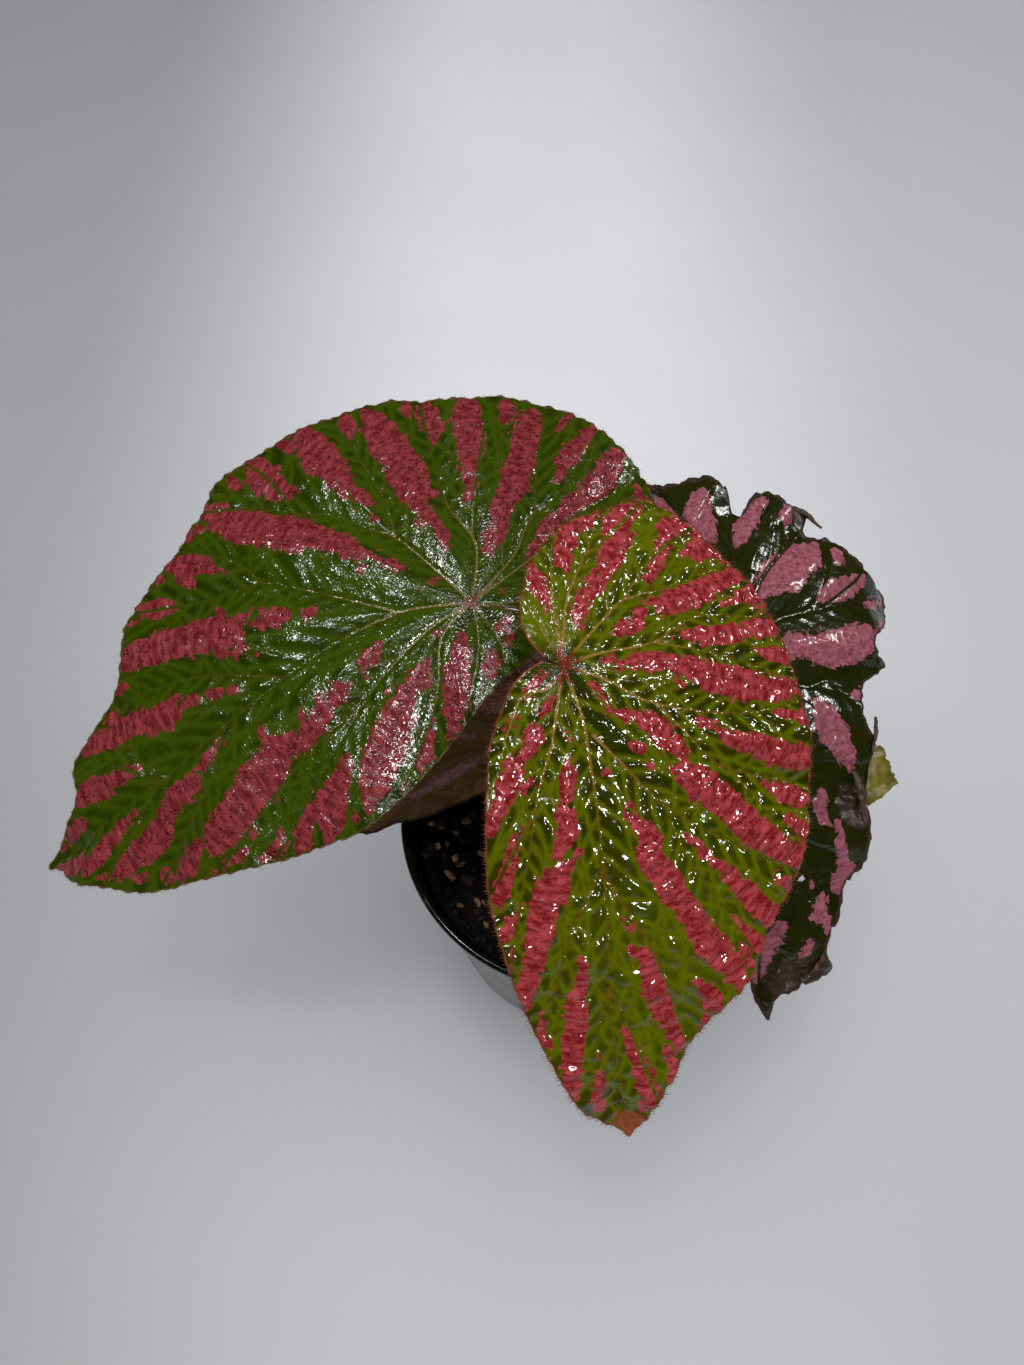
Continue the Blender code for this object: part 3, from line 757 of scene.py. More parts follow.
def build_blade(name, leaf, slots, node, slot_name, seed):
    outline = toothed_margin(leaf, seed)
    mains = [rounded(flat_pairs(path), 4) for path in leaf["veins"] + leaf["twigs"]]
    sides = side_veins(mains, outline, seed)
    flat, faces = blade_mesh(leaf, outline, mains, sides)
    u, v = flat[:, 0], flat[:, 1]
    lift, margin_gap = broad_lift(leaf, u, v)
    radius = np.hypot(u, v)
    near = np.clip(radius / JUNCTION_EASE, 0, 1)
    main = np.full(len(u), 1e3)
    for index, vein in enumerate(mains):
        distance, part, _ = line_distance(vein, u, v)
        thick = leaf["vein_width"] * (1.0 if index < len(leaf["veins"]) else 0.6)
        main = np.minimum(main, distance - thick * (1.0 - 0.7 * part))
    minor = near_lines(sides, u, v, SIDE_REACH)
    streak = np.full(len(u), STREAK_REACH)
    for path in leaf["streaks"]:
        distance, _, width = line_distance(rounded(flat_pairs(path, 3), 3), u, v)
        streak = np.minimum(streak, distance - width)
    first, last = leaf["margin"][0][0], leaf["margin"][-1][0]
    turn = (np.degrees(np.arctan2(v, u)) - (first + last) / 2 + 180) % 360 - 180
    polar = np.stack([radius, np.radians(turn) * POLAR_SCALE], -1)
    gap, value = cell_pattern(leaf, polar, seed)
    raised = np.clip(0.5 - streak / STREAK_EDGE, 0, 1)
    relief = RIDGE * (1 - np.exp(-(minor / RIDGE_REACH) ** 2)) - RIDGE
    relief += QUILT * (1 - np.exp(-(gap / QUILT_SEAM) ** 2)) * (0.75 + 0.25 * value)
    relief += STREAK_RISE * raised
    relief += (0.08 + 0.5 * raised) * rough_noise(polar * (1, 0.4), WRINKLE_LENGTH, seed)
    relief += SWELL * rough_noise(flat, SWELL_LENGTH, seed + 9)
    calm = np.clip((radius - 4) / leaf["calm"], 0, 1)
    lift += leaf["puff"] * relief * calm
    lift -= GROOVE * np.exp(-(np.clip(main, 0, None) / GROOVE_REACH) ** 2) * near
    dry = spot_values(leaf["dry"], u, v)
    lift += dry * (1.2 * rough_noise(flat, 3.0, seed + 2) + 1.6 * np.exp(-(margin_gap / 3) ** 2))
    blade = mesh_from(name, place_blade(leaf, u, v, lift) * MM, faces, slots)
    if blade.data.polygons[0].normal.dot(blade_axes(leaf)[2]) < 0:
        blade.data.flip_normals()
    for key, values in (("vein", main), ("minor", minor), ("gap", gap), ("cell", value),
                        ("streak", streak), ("rim", margin_gap), ("dry", dry),
                        ("bright", spot_values(leaf["bright"], u, v))):
        add_values(blade, key, values)
    add_vectors(blade, "flat", np.stack([u, v, np.zeros(len(u))], -1))
    add_vectors(blade, "polar", np.stack([*polar.T, np.zeros(len(u))], -1))
    solid = thicken(blade, SHEET)
    solid.material_offset = 1
    solid.material_offset_rim = 2
    part_of(blade, slot_name, node)
    add_fringe(name + "_fringe", leaf, outline, slot_name, slots[2], seed)


def add_fringe(name, leaf, outline, slot_name, slot, seed):
    """Fine hairs along the margin."""
    rng = np.random.default_rng(seed + 50)
    edge = resample(outline[1:], leaf["hair_step"])
    edge = edge[np.hypot(*edge.T) > 14]
    way = np.gradient(edge, axis=0)
    way /= np.hypot(*way.T)[:, None]
    away = np.stack([way[:, 1], -way[:, 0]], -1)
    away *= math.copysign(1, (away * edge).sum())
    count = len(edge)
    lean = rng.uniform(-0.5, 0.5, (count, 1))
    lengths = leaf["hair"] * rng.uniform(0.4, 1.0, (count, 1))
    half, rise = MARGIN_HAIR
    root = edge - 0.3 * away
    tip = edge + (away + lean * way) * lengths
    flats = np.stack([root + way * half, root - way * half, root, tip], 1).reshape(-1, 2)
    lift = np.repeat(broad_lift(leaf, *edge.T)[0], 4).reshape(-1, 4)
    lift += np.stack([np.zeros(count), np.zeros(count), np.full(count, rise),
                      rng.uniform(-0.5, 0.6, count)], -1)
    points = place_blade(leaf, flats[:, 0], flats[:, 1], lift.ravel()) * MM
    corners = np.array([(0, 1, 2), (0, 3, 1), (1, 3, 2), (2, 3, 0)])
    faces = (4 * np.arange(count)[:, None, None] + corners).reshape(-1, 3)
    part_of(mesh_from(name, points, faces, [slot]), slot_name)


def build_flap(leaf, slot):
    """The torn, folded-over strip of the back leaf's margin with its pale underside up."""
    rows, columns = 26, 40
    across, along = np.meshgrid(np.linspace(0, 1, rows), np.linspace(0, 1, columns), indexing="ij")
    peak, width, start = 0.72, 13.0, 2.5
    inner = np.stack([40 + 18 * along, 42 - 5 * along], -1)
    rising = start + (width - start) * along / peak
    reach = np.where(along < peak, rising, width * (1 - along) / (1 - peak)) + 0.3
    outer = inner + np.stack([1.5 * along, reach + 0.5 * np.sin(along * 23)], -1)
    flat = inner + (outer - inner) * across[..., None]
    spots = flat.reshape(-1, 2)
    ragged = rough_noise(spots, 2.2, 5.0).reshape(rows, columns)
    flat[..., 1] += 1.4 * across ** 3 * ragged
    lift = 1.2 + 3.0 * across + 0.4 * ragged
    lift += 0.5 * rough_noise(spots, 5.0, 2.0).reshape(rows, columns)
    points = place_blade(leaf, flat[..., 0].ravel(), flat[..., 1].ravel(), lift.ravel()) * MM
    flap = mesh_from("blade_back_flap", points, grid_faces(rows, columns), [slot])
    thicken(flap, FLAP_SHEET)
    part_of(flap, "blade_back")


def build_curls(leaf, slot):
    """Dry brown rolls along the torn parts of the back leaf's margin."""
    rows, columns = 30, 16
    points, faces = [], []
    for number, (u0, v0, u1, v1, radius, turns) in enumerate(leaf["curls"]):
        start = len(points)
        length = math.hypot(u1 - u0, v1 - v0)
        way = np.array((u1 - u0, v1 - v0)) / length
        side = np.array((-way[1], way[0]))
        flats, lifts = [], []
        for row in range(rows):
            t = row / (rows - 1)
            size = radius * (0.45 + 0.55 * math.sin(math.pi * min(0.95, 0.1 + t)))
            size *= 1 + 0.35 * noise.noise(Vector((t * 6, number, 1.0)))
            for column in range(columns):
                angle = turns * 2 * math.pi * column / (columns - 1) - 1.2
                grown = size * (1 - 0.35 * column / (columns - 1))
                grown *= 1 + 0.25 * noise.noise(Vector((t * 11, column / 3, number)))
                spot = np.array((u0, v0)) + way * length * t
                flats.append(spot + side * grown * math.cos(angle))
                lifts.append(1.6 + size + grown * math.sin(angle))
        flats = np.array(flats)
        points += list(place_blade(leaf, flats[:, 0], flats[:, 1], np.array(lifts)) * MM)
        faces += grid_faces(rows, columns, start)
    curls = mesh_from("blade_back_curls", points, faces, [slot])
    thicken(curls, THIN_SHEET, -1)
    part_of(curls, "blade_back")


# Blade materials
def leaf_top(name, look):
    s = Shader(name)
    flat = s.attribute("flat", "Vector")
    polar = s.attribute("polar", "Vector")
    radius = s.node("ShaderNodeSeparateXYZ", Vector=polar)
    warp = s.noise(flat, 0.38, 3, 0.6)
    fine = s.noise(flat, 1.5, 4, 0.65)
    broad = s.noise(flat, 0.05, 3, 0.5)
    rays = s.noise(s.squeeze(polar, 0.1, 0.62), 1.0, 3, 0.6)
    folds = s.noise(s.squeeze(polar, 0.55, 0.36), 1.0, 4, 0.6)
    gap, cell, vein, minor, rim, streak, dry, bright = (
        s.attribute(key) for key in ("gap", "cell", "vein", "minor", "rim", "streak", "dry", "bright"))
    green = s.mix(s.ramp(broad, 0.35, 0.65), look["green"][0], look["green"][1])
    green = s.mix(s.ramp(fine, 0.4, 0.72, 0.6), green, look["green"][2])
    green = s.mix(bright, green, look["bright"])
    shade = s.ramp(s.stir(minor, warp, 1.6), look["seam_reach"], 0.2, 0.75)
    green = s.mix(shade, green, look["seam"])
    green = s.mix(s.ramp(s.plus(gap, fine, 0.5), 0.8, 0.2, 0.25), green, look["green"][2])
    edge = s.stir(streak, warp, 5.6)
    edge = s.stir(edge, fine, 3.0)
    edge = s.stir(edge, rays, look["teeth"])
    edge = s.math("SUBTRACT", s.plus(edge, cell, 0.45), look["wider"])
    patch = s.math("MULTIPLY", s.ramp(edge, 0.16, -0.16), s.ramp(vein, 0.1, 0.9))
    # Partly the pink's own uneven tone, partly painted light and shade: stripes along the fold noise
    # are painted lighter and darker, standing in for lit and shaded sides of the folds
    rosy = s.mix(s.ramp(folds, 0.36, 0.64), look["patch"][0], look["patch"][1])
    rosy = s.mix(s.ramp(warp, 0.5, 0.75, 0.6), rosy, look["patch"][2])
    dots = s.cells(flat, 0.62, Randomness=0.95)
    pits = s.ramp(s.stir(dots, fine, 0.5), 0.34, 0.16, look["pits"])
    rosy = s.mix(pits, rosy, look["pit"])
    rosy = s.mix(s.ramp(minor, 0.4, 0.1, 0.15), rosy, look["pit"])
    colour = s.mix(patch, green, rosy)
    thin = s.math("MULTIPLY", s.ramp(minor, 0.55, 0.1, 0.5), s.math("SUBTRACT", 1.0, patch))
    colour = s.mix(thin, colour, look["seam"])
    knot = look["knot_reach"]
    tint = s.mix(s.ramp(radius, knot, knot * 1.8), look["knot"], look["vein"][0])
    tint = s.mix(s.ramp(radius, look["pale_until"] * 0.4, look["pale_until"]), tint, look["vein"][1])
    colour = s.mix(s.ramp(vein, 0.2, -0.2, 0.9), colour, tint)
    reach, uneven, *scorch = look["rim"]
    brown = s.ramp(s.stir(rim, warp, uneven), reach, reach * 0.4)
    brown = s.math("MAXIMUM", brown, s.ramp(s.stir(dry, warp, 0.5), 0.32, 0.5))
    colour = s.mix(brown, colour, s.mix(s.ramp(fine, 0.35, 0.65), *scorch))
    rough = s.plus(s.scale_to(fine, *look["rough"]), brown, 0.25)
    crackle = s.cells(flat, 0.85, "DISTANCE_TO_EDGE")
    wrinkles = s.noise(s.squeeze(polar, 0.5, 0.32), 1.0, 1.5, 0.5)
    fold, skin, grain = look["bumps"]
    normal = s.bump(wrinkles, fold, 0.5)
    normal = s.bump(s.ramp(crackle, 0.0, 0.4), skin, 0.12, normal)
    normal = s.bump(fine, grain, 0.1, normal)
    normal = s.bump(pits, skin, -0.1, normal)
    return s.finish(colour, rough, normal, Specular_IOR_Level=look["gloss"])


def leaf_under(name, look):
    s = Shader(name)
    flat = s.attribute("flat", "Vector")
    fine = s.noise(flat, 1.1, 4, 0.6)
    broad = s.noise(flat, 0.06, 3, 0.5)
    vein, minor, gap, streak = (s.attribute(key) for key in ("vein", "minor", "gap", "streak"))
    colour = s.mix(s.ramp(broad, 0.35, 0.65), look["under"][0], look["under"][1])
    colour = s.mix(s.ramp(streak, 0.8, -0.8, 0.6), colour, look["under"][2])
    colour = s.mix(s.ramp(gap, 0.5, 0.0, 0.35), colour, look["rib"])
    colour = s.mix(s.ramp(minor, 0.8, 0.1, 0.5), colour, look["rib"])
    colour = s.mix(s.ramp(vein, 0.7, -0.2), colour, look["rib"])
    return s.finish(colour, s.scale_to(fine, 0.4, 0.6), s.bump(fine, 0.5, 0.2))


def simple(name, dark, light, scale, rough, depth=0.15, stretch=(1, 1, 1)):
    s = Shader(name)
    place = s.squeeze(s.node("ShaderNodeTexCoord", 3), *stretch)
    grain = s.noise(place, scale, 5, 0.6)
    colour = s.mix(s.ramp(grain, 0.35, 0.65), dark, light)
    return s.finish(colour, s.scale_to(grain, rough - 0.1, rough + 0.1), s.bump(grain, 0.5, depth))


# Stem, stalks and bracts
def tube(name, path, radii, slot, sides=20):
    """A round tube along points, turned so that it doesn't twist, with both ends closed."""
    path = [Vector(point) for point in path]
    points = []
    turned = None
    for index, point in enumerate(path):
        way = path[min(index + 1, len(path) - 1)] - path[max(index - 1, 0)]
        way.normalize()
        if turned is None:
            turned = way.orthogonal().normalized()
        turned = (turned - way * turned.dot(way)).normalized()
        other = way.cross(turned)
        for side in range(sides):
            angle = 2 * math.pi * side / sides
            out = turned * math.cos(angle) + other * math.sin(angle)
            bumpy = 1 + 0.06 * noise.noise(point / 5 + out * 2)
            bumpy += 0.04 * noise.noise(point / 1.4 + out * 6)
            points.append((point + out * radii[index] * bumpy) * MM)
    faces = grid_faces(len(path), sides, closed=True)
    faces.append(tuple(range(sides - 1, -1, -1)))
    last = (len(path) - 1) * sides
    faces.append(tuple(last + side for side in range(sides)))
    return mesh_from(name, points, faces, [slot])


def bend(start, start_way, end, end_way, count):
    start, end = Vector(start), Vector(end)
    first, second = start + Vector(start_way), end - Vector(end_way)
    made = []
    for index in range(count):
        t = index / (count - 1)
        point = start * (1 - t) ** 3 + first * 3 * t * (1 - t) ** 2
        made.append(point + second * 3 * t * t * (1 - t) + end * t ** 3)
    return made


def hairs_on(name, path, radii, length, amount, slot, slot_name, seed):
    """Fine soft hairs that stand off a tube."""
    rng = random.Random(seed)
    half, depth = STALK_HAIR
    points, faces = [], []
    for _ in range(amount):
        at = rng.uniform(0.06, 0.97) * (len(path) - 1)
        index = int(at)
        point = path[index].lerp(path[min(index + 1, len(path) - 1)], at - index)
        way = (path[min(index + 1, len(path) - 1)] - path[index]).normalized()
        out = way.orthogonal()
        out.rotate(Matrix.Rotation(rng.uniform(0, 2 * math.pi), 3, way))
        out = (out.normalized() + way * rng.uniform(-0.3, 0.5)).normalized()
        side = way.cross(out).normalized() * half
        root = point + out * (radii[index] * 0.93)
        start = len(points)
        tip = root + out * length * rng.uniform(0.5, 1.0)
        points += [(root + side) * MM, (root - side) * MM, (root + way * depth) * MM, tip * MM]
        faces += [(start, start + 1, start + 2), (start, start + 3, start + 1),
                  (start + 1, start + 3, start + 2), (start + 2, start + 3, start)]
    part_of(mesh_from(name, points, faces, [slot]), slot_name)


def build_stalk(label, leaf, slot, hair):
    turn = math.radians(leaf["leaves_at"])
    out = Vector((math.cos(turn), math.sin(turn), 0.25)).normalized()
    start = Vector(leaf["joint"]) + out * (leaf["joint_radius"] - 0.4)
    up = Vector(blade_axes(leaf)[2])
    end = Vector(leaf["junction"]) - up * 0.3
    path = bend(start, out * leaf["reach"][0], end, up * leaf["reach"][1], 48)
    radii = []
    for index in range(len(path)):
        t = index / (len(path) - 1)
        taper, flare = min(1, 2.5 * t), max(0, 6 * t - 5)
        radii.append(STALK_FOOT - STALK_TAPER * taper + STALK_FLARE * flare)
    name = "stalk_" + label
    part_of(tube(name, path, radii, slot), name, "petiole_" + label)
    hairs_on(name + "_hairs", path, radii, 1.6, 420, hair, name, len(label))


def build_stem(slot):
    points = np.array(CANE)
    points[:, :2] += STEM_CENTRE
    heights = np.concatenate([[STEM_FOOT, 80], np.arange(88, 163.1, 0.6)])
    path = [Vector([np.interp(height, points[:, 2], points[:, i]) for i in range(3)])
            for height in heights]
    radii = []
    for height in heights:
        radius = np.interp(height, points[:, 2], points[:, 3])
        rings = 0.12 * math.sin(height * 4.2) if height > BARE_CANE else 0
        radii.append(radius * (1 if height > BARE_CANE else 0.97) + rings * (radius > 2))
    part_of(tube("cane", path, radii, slot, 40), "cane", "stem")


def build_bract(label, spec, slot):
    """A dry papery bract with torn teeth and lengthwise folds."""
    rows, columns = 40, 17
    points = []
    for row in range(rows):
        t = row / (rows - 1)
        half = spec["width"] / 2 * math.sin(math.pi * min(0.97, 0.25 + 0.72 * t)) ** 0.8
        for column in range(columns):
            side = 2 * column / (columns - 1) - 1
            turn = side * spec["curl"] * (0.6 + 0.4 * t)
            torn = 0.4 * noise.noise(Vector((t * 9, side * 2, spec["turn"]))) * abs(side)
            x = -spec["curl"] * 3 * (1 - math.cos(turn)) + spec["lean"] * t * t * spec["length"]
            x += 0.18 * math.sin(side * 14) * t + 0.5 * t * noise.noise(Vector((t * 3, side, 2)))
            points.append(Vector((x, half * (side + torn), t * spec["length"])) * MM)
    bract = mesh_from("bract_" + label, points, grid_faces(rows, columns), [slot])
    place = Matrix.Translation(Vector(spec["joint"]) * MM)
    place @= Matrix.Rotation(math.radians(spec["turn"]), 4, "Z")
    place @= Matrix.Translation(((spec["joint_radius"] + SEAT_GAP + 0.35) * MM, 0, 0))
    place @= Matrix.Rotation(math.radians(spec["tilt"]), 4, "Y")
    bract.data.transform(place)
    thicken(bract, THIN_SHEET)
    part_of(bract, *spec.get("rides", ("stipule_" + label + "_bract", "stipule_" + label)))


# Leaves, in millimetres and degrees. droop is the bend per millimetre beyond and behind the
# junction; left and right are the sideways bend near the midvein, how far it goes and the bend
# after it; waves are how many, how high and their phase; calm is over how far from the junction
# the relief grows; reach is how strongly the stalk leaves its foot and meets the blade. The margin is
# angle from the midvein and distance from the junction. Veins and twigs are flat points along and
# across the midvein, one after the other; streaks are such points with a half width after each;
# bright and dry spots are such points with a reach and a strength; holes are a point and a radius;
# curls are two ends, a radius and a share of a turn.
LEAVES = {
    "front": {
        "junction": (-10, 2.6, 196), "heading": -79, "pitch": 22, "roll": 0,
        "droop": (0.22, 0.22), "left": (0.25, 30, 0.25), "right": (0.25, 30, 0.25),
        "waves": (11, 1.2, 0.4), "ragged": 0.3, "puff": 1.25, "calm": 18, "vein_width": 0.5,
        "hair": 1.9, "hair_step": 0.8,
        "joint": (2.1, 10.8, 148), "joint_radius": 5.0, "leaves_at": 215, "reach": (12, 18),
        "bright": [(-16, -5, 9, 1.0), (-38, 20, 30, 0.35), (100, 24, 40, 0.55)],
        "dry": [(143, 0, 7, 0.9)],
        "margin": [
            (-112, 6), (-86, 12), (-71, 18), (-52, 31), (-45, 37), (-35, 52), (-27, 70),
            (-20, 87), (-15, 102), (-11, 115), (-6, 133), (-2, 141), (0, 144), (4, 133),
            (9, 122), (15, 113), (22, 108), (30, 100), (38, 96), (49, 89), (63, 81),
            (77, 74), (93, 69), (110, 64), (128, 61), (144, 58), (154, 52), (164, 46),
            (175, 39), (186, 32), (197, 25), (210, 19), (223, 12), (236, 6),
        ],
        "veins": [
            (0, 0, 16, 3, 32, 3, 58, 2, 80, 0, 101, -2, 121, -2, 143, 0), (21, 5, 32, 13, 44, 22, 58,
            39, 73, 62), (0, 0, 6, 12, 15, 25, 22, 51, 21, 74), (15, 25, 24, 32, 34, 39, 38, 45, 46,
            65), (0, 0, -2, 12, -3, 28, -9, 44, -6, 68), (0, 0, -13, 16, -17, 22, -19, 34, -21, 43, -25,
            60), (0, 0, -19, 5, -32, 13, -46, 21), (0, 0, -20, 1, -37, 4), (3, -2, 6, -6, 8, -14, 26,
            -23), (0, 0, 22, -7, 32, -12, 40, -15, 53, -19, 85, -29), (60, 1, 66, -3, 74, -9, 95, -18,
            107, -21), (60, 2, 71, 6, 89, 14, 118, 20),
        ],
        "twigs": [
            (44, 22, 61, 27, 91, 42), (38, 45, 63, 60), (-3, 28, 4, 48, 14, 72), (-17, 22, -28, 32, -37,
            48), (-32, 13, -39, 24, -46, 33), (0, 0, -15, -5, -23, -8), (40, -15, 57, -28), (93, -1,
            110, -7, 126, -11), (95, -1, 112, 4, 131, 8),
        ],
        "streaks": [
            (-17, -0.5, 1, -20, -0.8, 2, -25, -2.3, 3, -30, -3.5, 1.5), (-28.5, 6.8, 1.2, -32, 6.5, 2.6,
            -36, 8.2, 2.8, -41, 10.3, 3.2, -44, 14.5, 3.4, -44.5, 19.5, 2.5), (-11, 7.5, 1.2, -14, 7.5,
            2, -17.5, 9.5, 2.5, -21, 12.5, 3, -24.5, 16, 3, -28, 19.5, 3.2, -32, 22, 3.8, -37, 24, 4.4,
            -42, 25.5, 3.8, -44.5, 31, 2.5), (-22, 30.5, 1, -26, 33.5, 2, -30, 36, 2.6, -34, 38.3, 2.8,
            -37.5, 41, 3.4, -38, 45, 3, -35.5, 49, 2), (-29, 44, 1.2, -30, 47, 2.8, -30.5, 51, 3, -29.5,
            55, 2.6, -27.5, 58, 1.8), (-6.5, 17, 1, -8.3, 20.5, 2.2, -9.5, 24, 2.2, -13, 26.5, 1.6, -15,
            29.5, 1.2, -13.5, 33, 3, -15, 39, 4, -16, 44, 4.2, -18, 49, 4, -20, 55, 3, -20.8, 60, 2.4),
            (-4, 34.5, 0.7, -4, 38.5, 1.6, -3, 43, 2.8, -2.3, 48.5, 3.4, -2, 54, 3, -3, 60, 3.2, -3.5,
            67, 3.4), (-12, 52, 0.8, -12.5, 57, 1.7, -13.5, 61.5, 3, -13.5, 65, 3), (2, 21, 2.2, 3, 26,
            3, 3.5, 31, 2.2, 6, 36, 3, 8.5, 40.5, 3.8, 11, 46, 4.6, 12.5, 51, 5.2, 15, 58, 4.8, 16.3,
            65, 3.6, 17, 72, 3), (7.5, 33, 1.2, 11, 33.5, 1.8), (3.8, 60, 1, 4.8, 63, 2, 5.6, 66.5, 2.7,
            7, 70, 2.7), (24, 62.5, 0.9, 24.6, 66.5, 1.9, 26, 71, 2.3), (22, 37, 1, 25, 41, 1.3, 28,
            44.5, 1.9, 30, 48.5, 2.8, 32, 53.5, 3.2, 34.7, 58.2, 4, 37, 63, 4.2, 39, 69, 4), (15, 10.5,
            0.8, 16.5, 13.5, 1.4, 18.5, 18, 2.3, 20.5, 22.5, 3.3, 25, 25.5, 3.8, 28.5, 28, 3.2, 31.5,
            30, 1.8), (25.5, 15, 1, 27, 18, 1.6), (32.5, 20, 1), (7, 7, 0.6, 10.5, 9.2, 0.9, 13, 10.5,
            0.6), (0.8, 12, 0.9, 1.6, 15.5, 1.5, 2.5, 18, 0.8), (34.5, 27.5, 1.6, 37, 30.5, 3.4, 40.5,
            34, 4.6, 46, 39.5, 4.6, 51, 43.5, 4.9, 56.5, 47.5, 5, 60.5, 52, 4.4, 64, 56.5, 4.2, 68.5,
            62, 4.4, 71, 65, 3.5), (44, 31, 1.5), (43.5, 54.5, 1, 46.5, 58.5, 2.6, 49, 63, 3.2, 51, 67,
            2.6), (56, 60, 1.2, 58, 63, 2.2, 61, 66, 2.6), (54.5, 27, 0.8, 60, 32, 1.6, 65.5, 36.5, 2.1,
            70.5, 40.5, 2.6, 75, 43.7, 3.2, 80, 47, 3.6, 84.5, 51, 3.8), (73, 53.5, 1.3, 75, 56.5, 2,
            78.5, 57, 1), (81.5, 37.5, 0.9, 85.5, 40.8, 1.9, 89.5, 43.8, 2, 93, 46.3, 1.5), (90, 40,
            0.9, 95, 41, 1.6), (45, 11, 1, 48.5, 13.5, 2.3, 53, 16, 3.2, 58, 15.5, 3.8, 62.5, 17.5, 3.8,
            67, 20, 3.8, 72.5, 22.5, 3.6, 77.5, 25.5, 3.6, 83, 27.5, 4, 88, 30, 4, 93, 33.5, 3.6, 98,
            36.5, 3.3, 102, 38, 2.6), (42.4, 11.7, 1.2), (32.6, 7.2, 0.9), (97, 24, 1.1, 101, 27, 2.3,
            106, 29, 2.4, 108, 30, 1.5), (109.5, 26.5, 1.2, 113.5, 25, 1.3), (84.5, 6, 1.5, 86, 9, 1.8,
            90, 10.5, 2.4, 95, 11, 3.2, 100, 12, 3.7, 106, 14, 3.2, 112, 16, 2.9, 117, 18, 2.6), (118.5,
            13.5, 1.4, 123.5, 14.5, 1.9, 127.5, 12.8, 1), (74, 5, 1, 77.5, 7.8, 1.1), (109, 1.5, 0.8,
            114, 3.2, 1.9, 120, 4.6, 2.6, 126, 5.4, 3, 131, 6.5, 2.5, 134, 4.5, 1.4), (119.5, -8.5, 1,
            124.5, -8.5, 2.2, 130, -9, 2, 133.5, -8, 1.2), (114.3, -7.7, 0.9), (136, -5, 0.9), (84,
            -7.7, 1.1, 88.5, -8.5, 1.8, 94, -10, 2.4, 98.5, -12, 3.3, 103.5, -12.8, 3.6, 109, -14.2,
            3.3, 115, -15.2, 2.8, 121, -16, 2.3, 126, -15.8, 1.2), (56, -8, 1.2, 59, -11, 3.4, 63,
            -13.8, 4.1, 68, -16.5, 4.1, 73, -18.8, 4, 78.5, -20.6, 3.6, 83.5, -23, 3.2, 89, -24.7, 2.5,
            95, -26, 1.3), (98, -22, 0.9, 103, -22.5, 1.7, 109, -21.5, 1.4), (79, -27.5, 0.9, 83, -28.5,
            1.3), (1.5, -6, 0.8, 4.5, -9, 1.7, 7, -11.5, 1), (9, -4.5, 0.7, 11.5, -7, 1.4, 13, -8.5,
            0.8), (27, -2.8, 0.8, 30.5, -4, 1.9, 34.5, -4.8, 1.9, 38, -5.5, 1.3), (19, -2, 0.7), (22,
            -2, 1.1), (40, -7.5, 1.6, 43, -6.5, 3, 46, -6.5, 2.8, 49, -8.5, 2.2, 52.5, -11, 1.1), (53,
            -4.7, 1.2), (15.5, -10.5, 1.5, 19, -11.8, 2.8, 23, -13.8, 1.6), (12.5, -16.5, 1.1, 15.5,
            -18.5, 1.2), (22.5, -15.5, 1.2, 26, -18.3, 2.9, 30.5, -21, 3.1, 34.5, -23.5, 2.8, 38.5,
            -26.3, 2.2, 43, -28.6, 1.5), (31, -15, 0.8, 33, -17, 1.3), (43, -18, 0.8, 45, -20.5, 1.2),
            (47, -22, 1.2, 51.5, -23.5, 2, 56, -25.8, 2.3, 61, -28, 1.9, 65, -29.6, 1), (66.5, -23.7,
            0.9, 70, -26.2, 1.6, 74, -28.8, 1.4),
        ],
    },
    "left": {
        "junction": (-37, 38, 178), "heading": 205.2, "pitch": 9, "roll": -14,
        "droop": (0.15, 0.15), "left": (0.15, 30, 0.15), "right": (0.15, 30, 0.15),
        "waves": (12, 1.6, 1.1), "ragged": 0.4, "puff": 0.5, "calm": 50, "vein_width": 0.4,
        "hair": 1.1, "hair_step": 1.0,
        "joint": (2.8, 10.2, 136), "joint_radius": 5.6, "leaves_at": 150, "reach": (22, 20),
        "bright": [(30, -30, 40, 0.3), (120, 10, 40, 0.4)], "dry": [],
        "margin": [
            (-218.5, 7), (-217.5, 24), (-200, 44), (-187, 62), (-173, 71), (-165, 74), (-149, 76),
            (-136, 79), (-123, 78), (-116, 76), (-104, 79), (-95, 84), (-83, 87), (-74, 91),
            (-63, 98), (-55, 103), (-47, 102), (-35, 111), (-27, 119), (-20, 120), (-15, 126),
            (-11, 135), (-7, 144), (-3, 146), (-1, 154), (1, 164), (2, 171), (3, 166),
            (6, 160), (9, 151), (13, 141), (19, 119), (24, 106), (31, 91), (40, 76), (50, 54),
            (59, 42), (69, 34), (81, 29), (90, 27), (112, 26), (126, 25), (141, 24), (141.5, 7),
        ],
        "veins": [
            (0, 0, 12, -5, 22, -8, 43, -9, 64, -7, 99, -1, 121, 3, 170, 7), (22, -8, 37, -22, 48, -32,
            58, -40, 80, -46, 105, -56), (58, -40, 65, -54, 82, -69), (64, -7, 74, -13, 90, -22, 120,
            -30), (0, 0, 6, -17, 12, -32, 19, -40, 27, -50, 38, -58, 51, -68, 68, -76), (12, -32, 10,
            -48, 11, -66, 14, -87), (0, 0, -8, -13, -10, -20, -9, -27, -8, -36, -12, -57, -17, -78), (0,
            0, -18, -8, -26, -15, -32, -20, -38, -30, -55, -55), (0, 0, -26, -6, -41, -12, -71, -17),
            (0, 0, 14, 1, 30, 6, 45, 13, 62, 24, 92, 43), (45, 13, 71, 20, 109, 38), (0, 0, 14, 6, 24,
            23, 47, 44), (88, -3, 103, 13, 132, 32),
        ],
        "twigs": [
            (116, 2, 128, -9, 140, -19), (38, -58, 42, -75, 47, -86), (-10, -20, -15, -30, -39, -67),
            (-32, -20, -43, -22, -65, -37), (0, 0, -8, 5, -27, 9, -55, 4), (0, 0, 5, 15, 19, 34), (0, 0,
